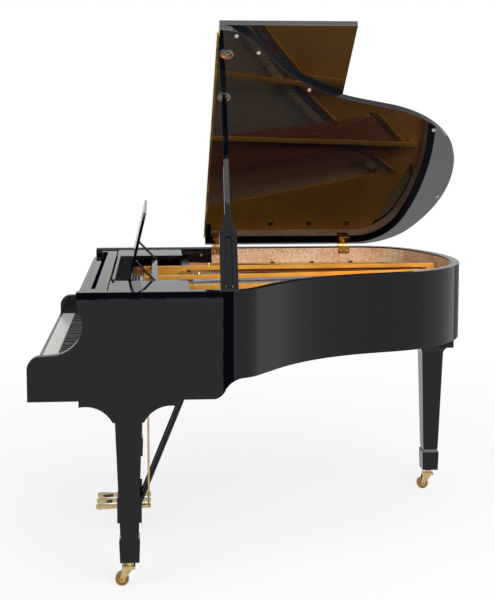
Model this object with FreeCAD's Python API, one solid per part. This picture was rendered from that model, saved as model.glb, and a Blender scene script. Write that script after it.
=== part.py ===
import FreeCAD, Part
import math
import os

# A grand piano, in millimetres. +X is the treble side, +Y the tail, +Z up, the floor is Z = 0.
# Pieces are laid out with Y = 0 at the front of the arms and moved to the middle of the case at the end.
V = FreeCAD.Vector
X_AXIS = V(1, 0, 0)
Y_AXIS = V(0, 1, 0)
Z_AXIS = V(0, 0, 1)

# Case outline, seen from above
cheek_room = 139.0
treble_side = 648.0
bend_radius = 136.4
bend_turn = 54.0
waist_radius = 690.5
waist_turn = 37.4
tail_run = 110.7
shoulder_radius = 463.4
shoulder_turn = 62.2
tail_radius = 835.2
tail_turn = 39.3
corner_radius = 259.4

# Case heights and walls
rim_top = 1010.0
rim_bottom = 718.0
cheek_bottom = 652.0
cheek_length = 614.0
ogee_length = 86.0
rim_wall = 32.0
inner_rim_wall = 46.0
veneer_thickness = 2.0
veneer_start = 672.0
veneer_margin = 6.0
side_panel_thickness = 28.0
side_rail_width = 18.0

# Arm scoop, seen from the side
arm_corner_drop = 41.0
arm_corner_radius = 34.0
arm_drop = 206.0
arm_flat = 86.0
scoop_belly = 182.0
scoop_belly_drop = 111.0
scoop_neck_drop = 33.0
arm_back = 162.0

# Running gaps
slide_gap = 0.3
pin_gap = 0.3
key_gap = 1.0
panel_gap = 1.5

# Keybed and keyboard
keybed_thickness = 45.0
keybed_end = 600.0
slip_thickness = 14.0
slip_setback = 2.0
slip_height = 728.0
key_front = 18.0
natural_pitch = 23.5
natural_count = 52
natural_head = 50.0
natural_top = 737.0
key_height = 22.0
key_cover_end = 200.0
lever_drop = 4.0
key_end = 420.0
sharp_width = 11.0
sharp_rise = 12.0
sharp_slope = 9.0
sharp_setback = 2.0
key_balance = 256.0
balance_depth = 10.0
key_dip = 10.0
rail_depth = 34.0
key_block_gap = 5.0
key_block_rise = 25.0

# Action
hammer_axis_y = 355.0
hammer_axis_z = 857.0
strike_line = 490.0
hammer_thickness = 9.0
hammer_height = 45.0
hammer_length = 26.0
shank_size = 5.0
butt_radius = 6.0
action_rail_depth = 15.0
action_bracket_thickness = 9.0
action_bracket_spacing = 380.0

# Sound body
board_drop = 95.0
board_thickness = 8.0
board_start = 562.0
belly_rail_start = 556.0
rib_height = 22.0
rib_width = 24.0
rib_spacing = 150.0
rib_lean = 35.0
brace_height = 76.0
brace_width = 60.0
plate_rise = 25.0
plate_thickness = 12.0
plate_ring = 62.0
plate_start = 264.0
panel_end = 400.0
strut_width = 18.0
strut_thickness = 16.0
strut_clear = 5.0
fin_end = 548.0
plate_corner_start = 1380.0
plate_corner_width = 360.0
plate_corner_length = 190.0
post_depth = 26.0
pin_block_height = 38.0
string_rise = 8.0
bass_rise = 10.0
agraffe_line = 425.0
wire_radius = 0.6
bass_wire_radius = 1.6
note_count = 88
bass_notes = 26
note_margin = 11.0
bass_break = 84.0
treble_break = 30.0
break_notes = (25, 47, 68)
treble_string = 170.0
tenor_string = 1000.0
tenor_lean = 12.0
bass_string = 1100.0
bass_string_step = 170.0
bass_lean = 14.0
bass_lean_step = 6.0
unison_spacing = 3.6
bass_unison_spacing = 5.2
tail_length = 30.0
pin_radius = 2.6
pin_height = 26.0
pin_line = 296.0
pin_row = 24.0
bridge_width = 30.0
bridge_clear = 14.0
window_step = 6
window_reach = 16.0
damper_notes = 66
damper_line = 520.0
damper_length = 44.0
damper_width = 10.0
damper_height = 12.0

# Legs and casters
front_leg_inset = 82.0
front_leg_y = 326.0
tail_leg_x = -352.0
tail_leg_inset = 58.0
leg_top_width = 89.0
leg_neck_width = 63.0
leg_foot_width = 70.0
leg_neck_height = 187.0
leg_foot_top = 160.0
leg_bottom = 86.0
bracket_foot = 570.0
bracket_foot_width = 104.0
bracket_reach = 163.0
bracket_step = 29.0
bracket_thickness = 96.0
tail_block_drop = 60.0
tail_block_inset = 14.0
leg_cap_width = 112.0
wheel_radius = 23.0
wheel_width = 22.0
caster_trail = 27.0
fork_wall = 5.0
fork_top = 68.0
stem_radius = 8.0
stem_length = 24.0
axle_radius = 4.0

# Pedal lyre
pedal_spacing = 75.0
pedal_tip = 184.0
pedal_end = 396.0
pedal_height = 85.0
pedal_thickness = 12.0
pedal_width = 20.0
pedal_toe_width = 38.0
pedal_toe_length = 62.0
pedal_pivot = 300.0
pedal_swing = 8.0
lyre_front = 267.0
lyre_back = 361.0
lyre_bottom = 34.0
lyre_top = 132.0
lyre_wall = 12.0
lyre_half_width = 128.0
pillar_size = 30.0
pillar_x = 88.0
lyre_head_height = 22.0
brace_radius = 9.0
brace_x = 38.0
brace_seat = 585.0
rod_radius = 4.0
rod_y = 388.0
rod_entry = 12.0

# Lid
lid_thickness = 20.0
lid_overhang = 4.0
lid_lift = 5.0
lid_open = 34.6
lid_axis_out = 7.0
lid_axis_up = 2.5
fold_line = 640.0
flap_gap = 1.0
fold_barrel = 3.0
fold_leaf = 1.2
fold_knuckles = 15
hinge_places = (700.0, 1267.0)
hinge_width = 50.0
hinge_leaf = 2.0
hinge_barrel = 4.4
hinge_pin = 2.2
hinge_plate_drop = 32.0
lid_strap = 70.0
bumper_radius = 7.0
bumper_inset = 15.0
bumper_height = 4.0

# Lid prop
prop_foot_inset = 58.0
prop_foot_y = 664.0
prop_foot_z = 978.0
prop_cup_inset = 385.0
prop_cup_y = 677.0
half_cup_inset = 133.0
half_cup_y = 673.0
cup_radius = 25.0
cup_height = 4.0
prop_ball = 13.0
prop_shin = 6.5
socket_wall = 4.5
socket_drop = 5.0
prop_width = 60.0
prop_depth = 22.0
prop_blade_start = 25.0
prop_blade_end = 252.0
prop_taper_end = 330.0
prop_rod = 19.0
half_width_prop = 20.0
half_depth = 14.0
half_start = 40.0
half_end = 236.0
half_pin = 3.0

# Music desk
shelf_front = 262.0
shelf_back = 534.0
shelf_thickness = 16.0
shelf_top = 1006.0
shelf_inner = 425.0
ledge_front = 268.0
ledge_back = 328.0
ledge_lip = 8.0
ledge_lip_height = 7.0
rear_bar_front = 407.0
rear_bar_back = 429.0
rear_bar_thickness = 12.0
rear_bar_clear = 1.0
desk_half_width = 405.0
desk_axis_y = 333.0
desk_bead = 4.7
desk_height = 242.0
desk_thickness = 10.0
desk_corner = 30.0
desk_lean = 13.6
strut_pivot = 66.0
strut_bar = 9.0
strut_x = 388.0
front_board_start = 218.0
front_board_end = 257.0
front_board_thickness = 20.0
front_board_drop = 2.0

# Fallboard
fall_axis_y = 205.0
fall_axis_z = 792.0
fall_top = 982.0
fall_lip_front = 157.0
fall_face = 175.0
fall_back = 195.0
fall_lip_thickness = 20.0
fall_foot = 8.0
fall_pin = 5.0
fall_pin_length = 26.0
fall_end_gap = 4.0

# Places that follow from the sizes
keyboard_half = natural_count * natural_pitch / 2
half_width = keyboard_half + cheek_room
case_width = 2 * half_width
arm_top = rim_top - arm_drop
arm_corner_height = arm_top - arm_corner_drop
key_block_height = natural_top + key_block_rise
scoop_belly_height = rim_top - scoop_belly_drop
scoop_neck_height = rim_top - scoop_neck_drop
board_top = rim_top - board_drop
plate_top = board_top + plate_rise
string_height = plate_top + string_rise
bass_string_height = string_height + bass_rise
first_note = note_margin - keyboard_half
note_span = -2 * first_note
front_leg_x = half_width - front_leg_inset
prop_foot_x = half_width - prop_foot_inset
lid_reach = case_width + lid_axis_out + lid_overhang
prop_cup_reach = lid_reach - prop_cup_inset
half_cup_reach = lid_reach - half_cup_inset
inner_face = half_width - rim_wall
corner_turn = 180.0 - (bend_turn - waist_turn + shoulder_turn + tail_turn)
keybed_top = cheek_bottom + keybed_thickness
key_bottom = natural_top - key_height
board_bottom = board_top - board_thickness
plate_bottom = plate_top - plate_thickness
lid_axis = V(-half_width - lid_axis_out, 0, rim_top + lid_axis_up)
panel_face = inner_face - side_panel_thickness
shelf_outer = panel_face - panel_gap
rear_bar_top = shelf_top - strut_bar - rear_bar_clear
rod_travel = (rod_y + rod_radius - pedal_pivot) * math.sin(math.radians(pedal_swing))


def box(x0, x1, y0, y1, z0, z1):
    """A block between two corners."""
    return Part.makeBox(x1 - x0, y1 - y0, z1 - z0, V(x0, y0, z0))


def rod(start, direction, radius, length):
    """A round bar from a point along a direction."""
    return Part.makeCylinder(radius, length, start, direction)


def line(a, b):
    """A straight edge."""
    return Part.LineSegment(a, b).toShape()


def arc(a, middle, b):
    """A round edge through three points."""
    return Part.Arc(a, middle, b).toShape()


def prism(edges, direction):
    """The solid swept by a closed ring of edges."""
    return Part.Face(Part.Wire(edges)).extrude(direction)


def polygon(points, direction):
    """The solid swept by a polygon."""
    return Part.Face(Part.makePolygon(points + [points[0]])).extrude(direction)


def joined(shapes):
    """One solid from several that touch."""
    first = shapes[0]
    return first.fuse(shapes[1:]).removeSplitter()


def mirrored(shape):
    """The same piece on the bass side."""
    return shape.mirror(V(0, 0, 0), X_AXIS)


def turn_point(position, heading, radius, turn):
    """Where an arc of the outline ends: radius is positive to the left, turn is in degrees."""
    side = math.radians(heading + 90)
    centre = position + V(math.cos(side), math.sin(side), 0) * radius
    spoke = math.radians(heading - 90 + turn)
    return centre + V(math.cos(spoke), math.sin(spoke), 0) * radius


def outline_steps(run):
    """The case outline as lines (length, 0) and arcs (radius, signed turn)."""
    return [(bend_radius, bend_turn), (run, 0), (waist_radius, -waist_turn), (tail_run, 0),
            (shoulder_radius, shoulder_turn), (tail_radius, tail_turn), (corner_radius, corner_turn)]


def walk(start, inset, run):
    """Edges of the outline from the end of the treble side to the start of the spine."""
    edges = []
    position = start
    heading = 90.0
    for size, turn in outline_steps(run):
        if turn == 0:
            ahead = V(math.cos(math.radians(heading)), math.sin(math.radians(heading)), 0)
            end = position + ahead * size
            edges.append(line(position, end))
        else:
            radius = size - inset if turn > 0 else -(size + inset)
            middle = turn_point(position, heading, radius, turn / 2)
            end = turn_point(position, heading, radius, turn)
            edges.append(arc(position, middle, end))
            heading = heading + turn
        position = end
    return edges, position


def bentside_run():
    """Length of the straight after the bend that brings the spine to the case width."""
    trial = case_width / 10
    edges, end = walk(V(half_width, treble_side, 0), 0, trial)
    return trial + (end.x + half_width) / math.sin(math.radians(bend_turn))


straight_run = bentside_run()


def outline_face(inset, front, z):
    """The case outline moved inward by inset and closed straight across at the front."""
    start = V(half_width - inset, front, z)
    bend = V(half_width - inset, treble_side, z)
    edges, end = walk(bend, inset, straight_run)
    corner = V(-half_width + inset, front, z)
    return Part.Face(Part.Wire([line(start, bend)] + edges + [line(end, corner), line(corner, start)]))


def case_prism(inset, front, z0, z1):
    """A block of the case outline."""
    return outline_face(inset, front, z0).extrude(V(0, 0, z1 - z0))


def case_ring(inset, wall, front, z0, z1):
    """A wall that follows the case outline, open at the front."""
    inner = case_prism(inset + wall, front - rim_wall, z0, z1)
    return case_prism(inset, front, z0, z1).cut(inner)


case_length = outline_face(0, 0, 0).BoundBox.YMax
tail_leg_y = case_length - tail_leg_inset


def side_profile():
    """The side of the case: arm, scoop, rim top, rim bottom and the ogee under the cheek."""
    far = case_length + rim_wall
    corner = arm_corner_radius * (1 - math.sqrt(0.5))
    waist_y = (scoop_belly + arm_flat) / 2 + rim_wall * 0.75
    waist_z = (arm_top + scoop_belly_height) / 2 - rim_wall * 0.3
    ogee_middle_y = cheek_length + ogee_length * 0.4
    ogee_middle_z = (cheek_bottom + rim_bottom) / 2
    p = [V(0, 0, cheek_bottom), V(0, cheek_length, cheek_bottom),
         V(0, ogee_middle_y, ogee_middle_z), V(0, cheek_length + ogee_length, rim_bottom),
         V(0, far, rim_bottom), V(0, far, rim_top), V(0, arm_back, rim_top),
         V(0, arm_back, scoop_neck_height), V(0, scoop_belly, scoop_belly_height),
         V(0, arm_flat, arm_top), V(0, arm_corner_radius, arm_top - 3), V(0, 0, arm_corner_height)]
    lower = V(0, cheek_length + ogee_length * 0.21, cheek_bottom + ogee_length * 0.11)
    upper = V(0, cheek_length + ogee_length * 0.64, rim_bottom - ogee_length * 0.14)
    neck = V(0, scoop_belly - 4, (scoop_neck_height + scoop_belly_height) / 2 - 6)
    edges = [line(p[0], p[1]), arc(p[1], lower, p[2]), arc(p[2], upper, p[3]), line(p[3], p[4]),
             line(p[4], p[5]), line(p[5], p[6]), line(p[6], p[7]), arc(p[7], neck, p[8]),
             arc(p[8], V(0, waist_y, waist_z), p[9]), line(p[9], p[10]),
             arc(p[10], V(0, corner, arm_corner_height + arm_corner_radius * 0.68), p[11]),
             line(p[11], p[0])]
    return Part.Face(Part.Wire(edges))


def make_rim():
    """The bent outer rim with the two arms."""
    wall = case_ring(0, rim_wall, 0, cheek_bottom, rim_top)
    shape = side_profile()
    shape.translate(V(-case_width, 0, 0))
    return wall.common(shape.extrude(V(2 * case_width, 0, 0)))


def make_inner_rim():
    """The laminated ledge inside the rim that carries the soundboard."""
    return case_ring(rim_wall, inner_rim_wall, keybed_end, rim_bottom, board_bottom)


def make_rim_veneer():
    """The figured veneer on the inside of the rim above the plate."""
    ring = case_ring(rim_wall, veneer_thickness, keybed_end, plate_top, rim_top - veneer_margin)
    return ring.cut(box(-case_width, case_width, 0, veneer_start, plate_top, rim_top))


def make_side_panels():
    """The two inner cheek panels with the rails that the music desk slides on."""
    shelf_bottom = shelf_top - shelf_thickness
    pieces = []
    for side, end in ((1, fold_line - side_panel_thickness), (-1, veneer_start - panel_gap)):
        panel = box(panel_face, inner_face, arm_back, end, plate_top, rim_top - 2)
        rail = box(panel_face - side_rail_width, panel_face, shelf_front, end,
                   shelf_bottom - side_rail_width, shelf_bottom - slide_gap)
        whole = joined([panel, rail])
        pieces.append(whole if side > 0 else mirrored(whole))
    return Part.makeCompound(pieces)


def make_keybed():
    """The bed under the keyboard, with the sockets for the pedal rods."""
    bed = box(-inner_face, inner_face, slip_setback + slip_thickness, keybed_end, cheek_bottom, keybed_top)
    sockets = []
    for x in (-pedal_spacing, 0, pedal_spacing):
        sockets.append(rod(V(x, rod_y, cheek_bottom), Z_AXIS, rod_radius + 2 * pin_gap,
                           rod_entry + rod_travel + rod_radius))
    return bed.cut(sockets)


def make_key_slip():
    """The strip in front of the keys."""
    back = slip_setback + slip_thickness
    return box(-inner_face, inner_face, slip_setback, back, cheek_bottom, slip_height)


def make_key_blocks():
    """The blocks at the keyboard's ends, with the holes that the fallboard turns in."""
    inner = keyboard_half + key_block_gap
    post_front = fall_axis_y - 3 * fall_pin
    post_back = front_board_start
    block = box(inner, inner_face, slip_setback + slip_thickness, post_front, keybed_top, key_block_height)
    post = box(inner, inner_face, post_front, post_back, keybed_top, plate_top)
    pilaster = box(inner, panel_face, post_front, post_back, plate_top, shelf_top - front_board_drop)
    hole = rod(V(inner - 1, fall_axis_y, fall_axis_z), X_AXIS, fall_pin + pin_gap, fall_pin_length + 2)
    whole = joined([block, post, pilaster]).cut(hole)
    return Part.makeCompound([whole, mirrored(whole)])


def make_belly_rail():
    """The cross beam that carries the front edge of the soundboard."""
    return box(-inner_face, inner_face, belly_rail_start, keybed_end, keybed_top, board_bottom)


def make_rim_braces():
    """The wooden posts under the soundboard, from the belly rail to the inner rim."""
    space = case_prism(rim_wall + inner_rim_wall, keybed_end, rim_bottom, rim_bottom + brace_height)
    posts = []
    for x, heading in ((-420.0, 0.0), (-60.0, 10.0), (300.0, 20.0)):
        post = box(-brace_width / 2, brace_width / 2, -case_length, case_length,
                   rim_bottom, rim_bottom + brace_height)
        post.rotate(V(0, 0, 0), Z_AXIS, heading)
        post.translate(V(x, keybed_end, 0))
        posts.append(post.common(space).Solids[0])
    return Part.makeCompound(posts)


def make_soundboard():
    """The spruce soundboard on the inner rim and the belly rail."""
    return case_prism(rim_wall, board_start, board_bottom, board_top)


def make_ribs():
    """The ribs glued across the underside of the soundboard."""
    space = case_prism(rim_wall + inner_rim_wall, keybed_end, board_bottom - rib_height, board_bottom)
    ribs = []
    count = int(case_length / rib_spacing)
    for number in range(count):
        bar = box(-case_length, case_length, -rib_width / 2, rib_width / 2,
                  board_bottom - rib_height, board_bottom)
        bar.rotate(V(0, 0, 0), Z_AXIS, rib_lean)
        bar.translate(V(0, keybed_end + (number + 0.2) * rib_spacing, 0))
        for solid in bar.common(space).Solids:
            ribs.append(solid)
    return Part.makeCompound(ribs)


def string_line(note):
    """Front point on the agraffe line, plan direction, length and height of a note's strings."""
    breaks = [bass_break] + [treble_break] * (len(break_notes) - 1)
    pitch = (note_span - sum(breaks)) / (note_count - 1)
    passed = [size for size, last in zip(breaks, break_notes) if note > last]
    x = first_note + pitch * note + sum(passed)
    if note < bass_notes:
        share = note / (bass_notes - 1)
        lean = bass_lean - bass_lean_step * share
        length = bass_string - bass_string_step * share
        height = bass_string_height
    else:
        share = (note - bass_notes) / (note_count - 1 - bass_notes)
        lean = -tenor_lean * (1 - share)
        length = treble_string * (tenor_string / treble_string) ** (1 - share)
        height = string_height
    direction = V(math.sin(math.radians(lean)), math.cos(math.radians(lean)), 0)
    return V(x, agraffe_line, height), direction, length


def note_x(note, y):
    """Where a note's strings cross a line across the case."""
    start, direction, length = string_line(note)
    return start.x + direction.x / direction.y * (y - start.y)


def unisons(note):
    """Sideways places of a note's strings: one, two or three."""
    count = 1 if note < 10 else 2 if note < bass_notes else 3
    spacing = bass_unison_spacing if note < bass_notes else unison_spacing
    return [(number - (count - 1) / 2) * spacing for number in range(count)]


def string_and_pin(note, number, offset):
    """One string from its tuning pin to the far end, and that pin."""
    start, direction, length = string_line(note)
    radius = bass_wire_radius if note < bass_notes else wire_radius
    row = pin_line + pin_row * number + pin_row * (note % 2) / 2
    side = V(direction.y, -direction.x, 0)
    foot = start + side * offset - direction * ((agraffe_line - row) / direction.y)
    reach = pin_radius + pin_gap
    wire = rod(foot + direction * reach, direction, radius,
               length + tail_length + (agraffe_line - row) / direction.y - reach)
    return wire, rod(V(foot.x, foot.y, plate_top), Z_AXIS, pin_radius, pin_height)


def make_strings():
    """Plain strings, wound bass strings and the tuning pins."""
    plain = []
    bass = []
    pins = []
    for note in range(note_count):
        for number, offset in enumerate(unisons(note)):
            wire, pin = string_and_pin(note, number, offset)
            (bass if note < bass_notes else plain).append(wire)
            pins.append(pin)
    return Part.makeCompound(plain), Part.makeCompound(bass), Part.makeCompound(pins)


def string_end(note):
    """Where a note's strings cross their bridge."""
    start, direction, length = string_line(note)
    return start + direction * length


def band(a, middle, b, width, z0, z1):
    """A curved strip through three points."""
    centre = arc(a, middle, b).Curve.Center
    inner = []
    outer = []
    for point in (a, middle, b):
        spoke = (point - V(centre.x, centre.y, point.z)).normalize()
        inner.append(V(point.x, point.y, z0) - spoke * (width / 2))
        outer.append(V(point.x, point.y, z0) + spoke * (width / 2))
    edges = [arc(inner[0], inner[1], inner[2]), line(inner[2], outer[2]),
             arc(outer[2], outer[1], outer[0]), line(outer[0], inner[0])]
    return prism(edges, V(0, 0, z1 - z0))


def bridge_lines():
    """Three points on the long bridge and three on the bass bridge."""
    flat = []
    for note in (note_count - 1, 52, bass_notes, bass_notes - 1, 12, 0):
        end = string_end(note)
        flat.append(V(end.x, end.y, 0))
    return flat[:3], flat[3:]


def make_bridges():
    """The long bridge and the taller bass bridge on the soundboard."""
    long_line, bass_line = bridge_lines()
    long_top = string_height - wire_radius - pin_gap
    bass_top = bass_string_height - bass_wire_radius - pin_gap
    return Part.makeCompound([band(*long_line, bridge_width, board_top, long_top),
                              band(*bass_line, bridge_width, board_top, bass_top)])


def plate_strut(last):
    """A strut over the strings in the break after a note, on a post at each end; the bass one has a fin."""
    left = string_line(last)[1]
    right = string_line(last + 1)[1]
    lean = (math.degrees(math.atan2(left.x, left.y)) + math.degrees(math.atan2(right.x, right.y))) / 2
    foot = (note_x(last, panel_end) + note_x(last + 1, panel_end)) / 2
    low = bass_string_height + bass_wire_radius + strut_clear
    bar = box(-strut_width / 2, strut_width / 2, -post_depth, case_length,
              plate_bottom, low + strut_thickness)
    bar.rotate(V(0, 0, 0), Z_AXIS, -lean)
    bar.translate(V(foot, panel_end, 0))
    reach = case_prism(rim_wall + plate_ring / 2, 0, plate_bottom, low + strut_thickness)
    strut = bar.common(reach).cut(case_prism(rim_wall + plate_ring, panel_end, plate_bottom, low))
    if last >= bass_notes:
        return strut
    fin = box(-half_width, half_width, panel_end, fin_end, plate_bottom, low)
    return joined([strut, bar.common(fin)])


def plate_corner():
    """The corner by the spine and the tail that the plate leaves open to the soundboard."""
    corners = [V(-half_width, plate_corner_start, board_top),
               V(plate_corner_width - half_width, plate_corner_start + plate_corner_length, board_top),
               V(-half_width, case_length, board_top)]
    return polygon(corners, V(0, 0, plate_top - board_top))


def plate_window():
    """The hole in the plate over the soundboard, from the pin panel to just behind the long bridge."""
    left = plate_ring - inner_face
    ends = []
    for note in range(bass_notes, note_count, window_step):
        start, direction, length = string_line(note)
        end = start + direction * (length + window_reach)
        ends.append(V(end.x, end.y, plate_bottom))
    right = note_x(note_count - 1, panel_end) + window_reach
    back = ends[0].y - window_reach
    corners = [V(right, ends[-1].y, plate_bottom), V(right, panel_end, plate_bottom),
               V(left, panel_end, plate_bottom), V(ends[0].x - 2 * window_reach, back, plate_bottom)]
    return polygon(corners + ends, V(0, 0, plate_thickness))


def make_iron_plate():
    """The cast iron plate: pin panel, web behind the bridges and struts, standing on the board's edge."""
    edge = rim_wall + veneer_thickness + panel_gap
    web = case_prism(edge, plate_start, plate_bottom, plate_top)
    holes = [plate_window()] + [band(*ends, bridge_width + 2 * bridge_clear, plate_bottom, plate_top)
                                for ends in bridge_lines()]
    skirt = case_ring(edge, plate_ring / 3, board_start, board_top, plate_bottom)
    struts = [plate_strut(last) for last in break_notes]
    return joined([web.cut(holes + [plate_corner()]), skirt.cut(plate_corner())] + struts)


def make_pin_block():
    """The laminated block that holds the tuning pins, under the plate."""
    return box(-inner_face, inner_face, plate_start, panel_end - rail_depth / 3,
               plate_bottom - pin_block_height, plate_bottom)


def damper_template(height):
    """A damper head with its felt, standing over the strings."""
    gap = slide_gap
    head = box(-damper_width / 2, damper_width / 2, damper_line, damper_line + damper_length, height + gap,
               height + gap + damper_height)
    return head


def make_dampers():
    """A damper for every note but the top ones."""
    heads = []
    for note in range(damper_notes):
        start, direction, length = string_line(note)
        radius = bass_wire_radius if note < bass_notes else wire_radius
        head = damper_template(start.z + radius)
        head.rotate(V(0, damper_line, 0), Z_AXIS, -math.degrees(math.atan2(direction.x, direction.y)))
        head.translate(V(note_x(note, damper_line), 0, 0))
        heads.append(head)
    return Part.makeCompound(heads)


SHARPS = {1: -3.0, 3: 3.0, 6: -4.0, 8: 0.0, 10: 4.0}


def keyboard():
    """Left and right sides of each key: (is sharp, natural index, left, right, rear left, rear right)."""
    keys = []
    boundary = -keyboard_half
    half = sharp_width / 2
    for key in range(note_count):
        tone = (key + 9) % 12
        if tone in SHARPS:
            centre = boundary + SHARPS[tone]
            keys.append((True, key, centre - half, centre + half, centre - half, centre + half))
        else:
            left = boundary + key_gap / 2
            right = boundary + natural_pitch - key_gap / 2
            rear_left = left
            rear_right = right
            if (tone - 1) % 12 in SHARPS and key > 0:
                rear_left = boundary + SHARPS[tone - 1] + half + key_gap
            if (tone + 1) % 12 in SHARPS and key < note_count - 1:
                rear_right = boundary + natural_pitch + SHARPS[tone + 1] - half - key_gap
            keys.append((False, key, left, right, rear_left, rear_right))
            boundary = boundary + natural_pitch
    return keys


def natural_key(left, right, rear_left, rear_right):
    """A white key: a wide head, a neck between the black keys, and the lever behind."""
    head_end = key_front + natural_head
    points = [V(left, key_front, key_bottom), V(right, key_front, key_bottom), V(right, head_end, key_bottom),
              V(rear_right, head_end, key_bottom), V(rear_right, key_cover_end, key_bottom),
              V(rear_left, key_cover_end, key_bottom), V(rear_left, head_end, key_bottom),
              V(left, head_end, key_bottom)]
    kept = [point for place, point in enumerate(points) if (point - points[place - 1]).Length > 0.001]
    front = polygon(kept, V(0, 0, key_height))
    lever = box(rear_left, rear_right, key_cover_end, key_end, key_bottom, natural_top - lever_drop)
    return joined([front, lever])


def sharp_key(left, right):
    """A black key: a sloped front, a raised top, and the lever behind."""
    front = key_front + natural_head + sharp_setback
    top = natural_top + sharp_rise
    lever_top = natural_top - lever_drop
    points = [V(left, front, key_bottom), V(left, front, natural_top), V(left, front + sharp_slope, top),
              V(left, key_cover_end - lever_drop, top), V(left, key_cover_end - lever_drop, lever_top),
              V(left, key_end, lever_top), V(left, key_end, key_bottom)]
    return polygon(points, V(right - left, 0, 0))


def make_keys():
    """The 52 white and the 36 black keys."""
    naturals = []
    sharps = []
    for is_sharp, key, left, right, rear_left, rear_right in keyboard():
        if is_sharp:
            sharps.append(sharp_key(left, right))
        else:
            naturals.append(natural_key(left, right, rear_left, rear_right))
    return Part.makeCompound(naturals), Part.makeCompound(sharps)


def make_key_frame():
    """The frame that the keys rock on: front, balance and back rails tied by two end bars."""
    low = keybed_top + slide_gap
    seat = key_bottom - slide_gap
    half = keyboard_half - rail_depth / 2
    front_start = key_front + rail_depth / 2
    front = box(-half, half, front_start, front_start + rail_depth, low, seat - key_dip - slide_gap)
    balance = box(-half, half, key_balance - balance_depth / 2, key_balance + balance_depth / 2, low, seat)
    back = box(-half, half, key_end - rail_depth, key_end, low, seat)
    ends = []
    for side in (-1, 1):
        outer = side * half
        inner = side * (half - rail_depth)
        ends.append(box(min(outer, inner), max(outer, inner), front_start, key_end,
                        low, seat - key_dip - slide_gap))
    return joined([front, balance, back] + ends)


def make_action_frame():
    """The rail that carries the hammers, on brackets that stand behind the keys."""
    low = keybed_top + slide_gap
    under = hammer_axis_z - shank_size / 2 - slide_gap - action_rail_depth / 2
    rail_back = hammer_axis_y - butt_radius - pin_gap
    rail_front = rail_back - action_rail_depth
    half = note_span / 2 + hammer_thickness / 2
    rail = box(-half, half, rail_front, rail_back, under, hammer_axis_z + action_rail_depth / 2)
    foot_end = key_end + rail_depth
    pieces = [rail]
    for number in range(4):
        x = (number - 1.5) * action_bracket_spacing
        x0 = x - action_bracket_thickness / 2
        points = [V(x0, key_end, low), V(x0, foot_end, low), V(x0, foot_end, under),
                  V(x0, rail_front, under),
                  V(x0, rail_front, under - rail_depth), V(x0, key_end, under - rail_depth)]
        pieces.append(polygon(points, V(action_bracket_thickness, 0, 0)))
    return joined(pieces)


def hammer_template():
    """A hammer: butt on its pivot line, shank, and a pointed felt head."""
    axis = hammer_axis_z
    half = hammer_thickness / 2
    butt = rod(V(-half, hammer_axis_y, axis), X_AXIS, butt_radius, hammer_thickness)
    shank = box(-shank_size / 2, shank_size / 2, hammer_axis_y, strike_line,
                axis - shank_size / 2, axis + shank_size / 2)
    low = axis - shank_size
    top = axis + hammer_height
    wide = hammer_length / 2
    shoulder = axis + hammer_height * 0.55
    left = V(-half, strike_line - wide, shoulder)
    right = V(-half, strike_line + wide, shoulder)
    foot_left = V(-half, strike_line - wide / 2, low)
    foot_right = V(-half, strike_line + wide / 2, low)
    edges = [line(foot_left, left), arc(left, V(-half, strike_line - wide * 0.6, axis + hammer_height * 0.88),
                                        V(-half, strike_line, top)),
             arc(V(-half, strike_line, top),
                 V(-half, strike_line + wide * 0.6, axis + hammer_height * 0.88), right),
             line(right, foot_right), line(foot_right, foot_left)]
    head = prism(edges, V(hammer_thickness, 0, 0))
    return joined([butt, shank, head])


def make_hammers():
    """One hammer under each note, in two sets for the white and the black keys."""
    template = hammer_template()
    naturals = []
    sharps = []
    for note in range(note_count):
        hammer = template.copy()
        hammer.translate(V(note_x(note, strike_line), 0, 0))
        (sharps if (note + 9) % 12 in SHARPS else naturals).append(hammer)
    return Part.makeCompound(naturals), Part.makeCompound(sharps)


def square(x, y, z, width):
    """A level square wire."""
    half = width / 2
    corners = [V(x - half, y - half, z), V(x + half, y - half, z),
               V(x + half, y + half, z), V(x - half, y + half, z)]
    return Part.makePolygon(corners + [corners[0]])


def stacked(x, y, sections):
    """A square post through (height, width) sections."""
    return Part.makeLoft([square(x, y, z, width) for z, width in sections], True, True)


def leg_foot(x, y, top):
    """The tapered leg with its foot block and the hole for the caster stem."""
    neck = leg_neck_width - 4
    sections = top + [(leg_neck_height, leg_neck_width), (leg_neck_height - 12, neck),
                      (leg_foot_top + 4, leg_foot_width), (leg_foot_top - 6, leg_foot_width),
                      (leg_bottom, leg_foot_width - 5)]
    hole = rod(V(x, y, leg_bottom - 1), Z_AXIS, stem_radius + pin_gap, stem_length + 2)
    return stacked(x, y, sections).cut(hole)


def make_front_leg():
    """The treble front leg, up to its bracket."""
    return leg_foot(front_leg_x, front_leg_y, [(bracket_foot, leg_top_width)])


def make_tail_leg():
    """The tail leg with its moulded cap, up to its block."""
    top = rim_bottom - tail_block_drop
    cap = [(top, leg_cap_width - 16), (top - 22, leg_cap_width), (top - 40, leg_cap_width),
           (top - 54, leg_top_width + 4), (top - 66, leg_top_width)]
    return leg_foot(tail_leg_x, tail_leg_y, cap)


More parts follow.
